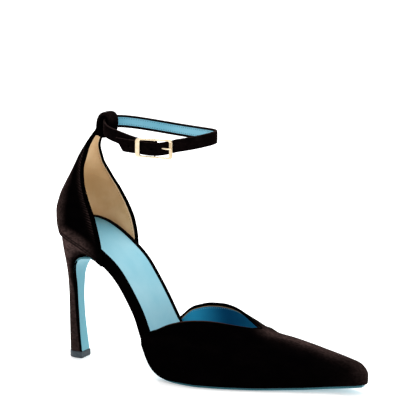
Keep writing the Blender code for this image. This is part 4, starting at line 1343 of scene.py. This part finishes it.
def makeStrap():
    look = strapSet
    degrees = strapPath()
    centre, normal = strapMiddle(degrees, strapStep(degrees))
    run = rowLengths(centre[None])[0]
    slant = look["slant"] * np.clip((run - run[-1] + look["slantReach"]) / look["slantReach"], 0, 1)
    section = strapSection()
    along = unit(np.gradient(centre, axis=0))
    lean = slant[:, None] * section[:, 1] / (look["width"] / 2)
    rings = centre[:, None] + normal[:, None] * section[:, :1] + along[:, None] * lean[..., None]
    rings[:, :, 2] += section[:, 1]
    bm = loftBody(rings)
    # painted sheen, stronger on the rounded edges
    sheenEdges = np.abs(section[:, 1]) > look["width"] / 2 - look["corner"] / 2
    faceSheen, edgeSheen = look["napAndSheen"]
    paintRings(bm, "napAndSheen", np.tile(np.where(sheenEdges, edgeSheen, faceSheen), len(rings)))
    strap = addPiece("strapVelvet", bm, "velvet", ["ankle_strap"])
    punches = [punch(spot) for spot in look["holes"]]
    for cutter in punches:
        cut = strap.modifiers.new(cutter.name, "BOOLEAN")
        cut.operation = "DIFFERENCE"
        cut.object = cutter
    pierced = evaluatedMesh(strap)
    strap.modifiers.clear()
    strap.data = pierced
    for cutter in punches:
        bpy.data.objects.remove(cutter)


def makeStrapLining():
    # on the inner face, with none inside the loop
    look = strapSet
    barEnd, rampEnd = look["liningEnds"]
    inside = np.linspace(ringSet["buckle"] - barEnd + 360, look["ramp"][0] + rampEnd, look["liningRows"])
    fromLoop = inside - 360 - look["loopAngle"]
    low, high = [look["width"] / 2 - inset for inset in look["liningInsets"]]
    sheets, sewn = [], []
    for part in (inside[fromLoop > look["inLoop"]], inside[fromLoop < -look["inLoop"]]):
        middle, face = strapMiddle(part, -look["thick"] / 2)
        sheets.append((uprightSheet(middle, np.linspace(-low, high, look["liningColumns"])), True))
        for edge in (look["sewnIn"] - low, high - look["sewnIn"]):
            line = middle - face * (look["liningThick"] + threadLift)
            line[:, 2] += edge
            sewn.append(line)
    bm = roundedWall(sheets, -look["liningThick"], look["liningRoll"])
    paint(bm, "deep", lambda spot: ramp(spot.x, *look["pale"]))
    addPiece("strapLining", bm, "strapLining")
    addStitches("strapStitches", sewn, "blueThread", look["stitch"])


def punch(degrees):
    # cutter of a punched hole through the tail only
    spot, normal = strapMiddle(degrees, strapStep(degrees))
    radius, depth = strapSet["holeRadius"], strapSet["thick"] + 2 * strapSet["holeClear"]
    turn = Vector(normal).to_track_quat("Z", "Y").to_matrix().to_4x4()
    turn.translation = Vector(spot)
    bm = bmesh.new()
    bmesh.ops.create_cone(bm, cap_ends=True, segments=strapSet["holeSides"], radius1=radius, radius2=radius,
                          depth=depth, matrix=turn)
    return addObject("punch%d" % degrees, shoeMesh("punch", bm))


# buckle
buckleSet = {
    "long": 28.0, "high": (13.4, 14.0), "backBar": 3.4, "frontBar": 2.4, "rail": 1.3, "drop": (2.2, 1.4),
    "thick": 1.6, "corner": 2.2, "clear": 0.8, "edge": 0.45, "windowShadePoints": (9, 10),      # of a section; these inner faces of the window get painted shade
    "barRadius": 0.6, "barBend": 1.2,
    "prongRadius": 0.65, "prongRoot": 287.6, "prongOut": 0.2, "prongDrop": 0.6, "prongRows": 12,
    "prongTip": (0.62, 0.58, 0.5, 0.38, 0.16),      # radii towards its end
}
foldSet = {"wrap": 1.55, "reach": 12.0, "inset": 0.9, "thick": 0.7, "roll": 0.45, "columns": 8, "turned": 0.9}


def frameMatrix():
    half = (buckleSet["long"] - buckleSet["frontBar"]) / 2
    front = strapSet["thick"] / 2 + buckleSet["clear"] + buckleSet["thick"] / 2
    middle, _ = ringPoint(ringSet["buckle"])
    ends = []
    outs = front, front + strapSet["thick"] + shoe["gap"]
    for step, out, drop in zip((0.25, -0.25), outs, buckleSet["drop"]):
        degrees = ringSet["buckle"]
        while np.linalg.norm(ringPoint(degrees)[0] - middle) < half:
            degrees += step
        ends.append(Vector(ringPoint(degrees, out)[0]) - Vector((0.0, 0.0, drop)))
    axisX = (ends[0] - ends[1]).normalized()
    axisZ = Vector((axisX.y, -axisX.x, 0.0)).normalized()
    matrix = Matrix((axisX, axisZ.cross(axisX), axisZ)).transposed().to_4x4()
    matrix.translation = (ends[0] + ends[1]) / 2
    return matrix


def frameHeight(x):
    return blend(*buckleSet["high"], x / buckleSet["long"] + 0.5)


def frameRing(back, front, rail, radius):
    def centre(sx, sy):
        x = front if sx > 0 else back
        return x - sx * radius, sy * (frameHeight(x) / 2 - rail - radius)

    return np.concatenate(cornerArcs(centre, radius, 9))


def frameRings(matrix):
    # sections of the flat frame with rounded edges, between its outline and its window
    half, edge, thick = buckleSet["long"] / 2, buckleSet["edge"], buckleSet["thick"]
    outline = frameRing(-half, half, 0.0, buckleSet["corner"])
    window = frameRing(buckleSet["backBar"] - half, half - buckleSet["frontBar"], buckleSet["rail"],
                       buckleSet["corner"] / 2)
    rings = []
    for outer, inner in zip(outline, window):
        width = np.linalg.norm(outer - inner)
        inX, inZ = width / 2 - edge, thick / 2 - edge
        section = np.concatenate(cornerArcs(lambda sx, sz: (sx * inX, sz * inZ), edge, 5))
        across = (outer + inner) / 2 + (outer - inner) / width * section[:, :1]
        rings.append([matrix @ Vector((x, y, z)) for (x, y), z in zip(across, section[:, 1])])
    return np.array(rings)


def makeBuckle():
    look = buckleSet
    matrix = frameMatrix()
    rings = frameRings(matrix)
    bm = loftBody(rings, loop=True)
    # painted shade: darker gold on the inner faces of the window
    window = np.isin(np.arange(rings.shape[1]), look["windowShadePoints"])
    paintRings(bm, "inner", np.tile(window, len(rings)))
    addPiece("buckleFrame", bm, "gold", ["buckle_frame"])

    middle, _ = ringPoint(ringSet["buckle"])
    low = (matrix.inverted() @ Vector(middle)).z
    reach = (frameHeight(0.0) - look["rail"]) / 2
    half = [(reach, 0.0)]
    for degrees in range(0, 91, 10):
        a = math.radians(degrees)
        half.append((reach - look["barBend"] * (1 - math.cos(a)), low + look["barBend"] * (1 - math.sin(a))))
    line = [(-y, z) for y, z in half] + half[::-1]
    spots = [matrix @ Vector((0.0, y, z)) for y, z in line]
    addPiece("buckleBar", loftBody(roundTube(spots, [look["barRadius"]] * len(spots))), "gold")

    root = Vector(ringPoint(look["prongRoot"], look["prongOut"])[0]) - Vector((0.0, 0.0, look["prongDrop"]))
    level = (matrix.inverted() @ root).y
    height = look["thick"] / 2 + shoe["gap"] + look["prongRadius"]
    bend = matrix @ Vector((look["long"] / 2 - look["frontBar"] - look["prongRadius"], level, height))
    tip = matrix @ Vector((look["long"] / 2 - shoe["gap"], level, height))
    spots = [root.lerp(bend, t) for t in np.linspace(0, 0.94, look["prongRows"])]
    spots += [bend.lerp(tip, t) for t in np.linspace(0.1, 1.0, look["prongRows"])]
    radii = [look["prongRadius"]] * (len(spots) - len(look["prongTip"])) + list(look["prongTip"])
    addPiece("buckleProng", loftBody(roundTube(spots, radii)), "gold", ["buckle_prong"])


def makeStrapFold():
    # end of the strap, turned round the bar and sewn down on the inside
    look = foldSet
    wrap = look["wrap"]
    spot, normal = ringPoint(ringSet["buckle"])
    along = np.array((-normal[1], normal[0], 0.0))
    path = [(look["reach"] * (1 - t), -wrap) for t in np.linspace(0, 1, 14)[:-1]]
    path += [(-wrap * math.sin(a), -wrap * math.cos(a)) for a in np.linspace(0, math.pi * look["turned"], 12)]
    centre = np.array([spot - along * run + normal * out for run, out in path])
    heights = np.linspace(-1, 1, look["columns"]) * (strapSet["width"] / 2 - look["inset"])
    bm = roundedWall([(uprightSheet(centre, heights), False)], look["thick"], look["roll"])
    addPiece("strapFold", bm, "velvet")


makeBoard()
makeSock()
makeSole()
makeBreastShadeStrip()
makeHeel()
makeTopPiece()
makeVamp()
makeCounter()
makeLoopFold()
makeStrap()
makeStrapLining()
makeBuckle()
makeStrapFold()
print("pieces made")

# stage, light and camera
stageSet = {
    "floor": 30.0, "world": 1.0, "aim": (0.0, 0.0, 0.08),      # metres
    # name, place, size and power
    "lights": (("overhead", (0.10, 0.35, 1.30), 1.10, 16.0), ("behind", (-0.75, 0.75, 0.75), 0.60, 7.0)),
}
cameraSet = {
    "target": (117.1, 15.0, 119.6), "azimuth": 27.54, "elevation": 10.72, "distance": 1237.6,
    "pixels": 1714.8, "frame": 416, "sensor": 36.0,
}


def makeStage():
    bm = bmesh.new()
    bmesh.ops.create_grid(bm, x_segments=8, y_segments=8, size=stageSet["floor"] / 2)
    mesh = bpy.data.meshes.new("floor")
    bm.to_mesh(mesh)
    bm.free()
    mesh.materials.append(floorFinish())
    floor = addObject("floor", mesh)
    world = bpy.data.worlds.new("studio")
    world.use_nodes = True
    sky = world.node_tree.nodes["Background"].inputs
    sky["Color"].default_value = (1.0, 1.0, 1.0, 1.0)
    sky["Strength"].default_value = stageSet["world"]
    bpy.context.scene.world = world
    bpy.context.scene.view_settings.view_transform = "Standard"
    for name, spot, size, power in stageSet["lights"]:
        lamp = bpy.data.lights.new(name, "AREA")
        lamp.size = size
        lamp.energy = power
        holder = addObject(name, lamp)
        holder.location = spot
        away = Vector(spot) - Vector(stageSet["aim"])
        holder.rotation_euler = away.to_track_quat("Z", "Y").to_euler()


def makeCamera():
    azimuth, elevation = math.radians(cameraSet["azimuth"]), math.radians(cameraSet["elevation"])
    back = Vector((math.sin(azimuth) * math.cos(elevation), -math.cos(azimuth) * math.cos(elevation),
                   math.sin(elevation)))
    lens = bpy.data.cameras.new("photoView")
    lens.sensor_width = cameraSet["sensor"]
    lens.lens = cameraSet["pixels"] / cameraSet["frame"] * lens.sensor_width
    camera = addObject("photoView", lens)
    target = Vector((np.array(cameraSet["target"]) + datum) * mm)
    camera.location = target + back * cameraSet["distance"] * mm
    camera.rotation_euler = back.to_track_quat("Z", "Y").to_euler()
    bpy.context.scene.camera = camera


makeStage()
makeCamera()
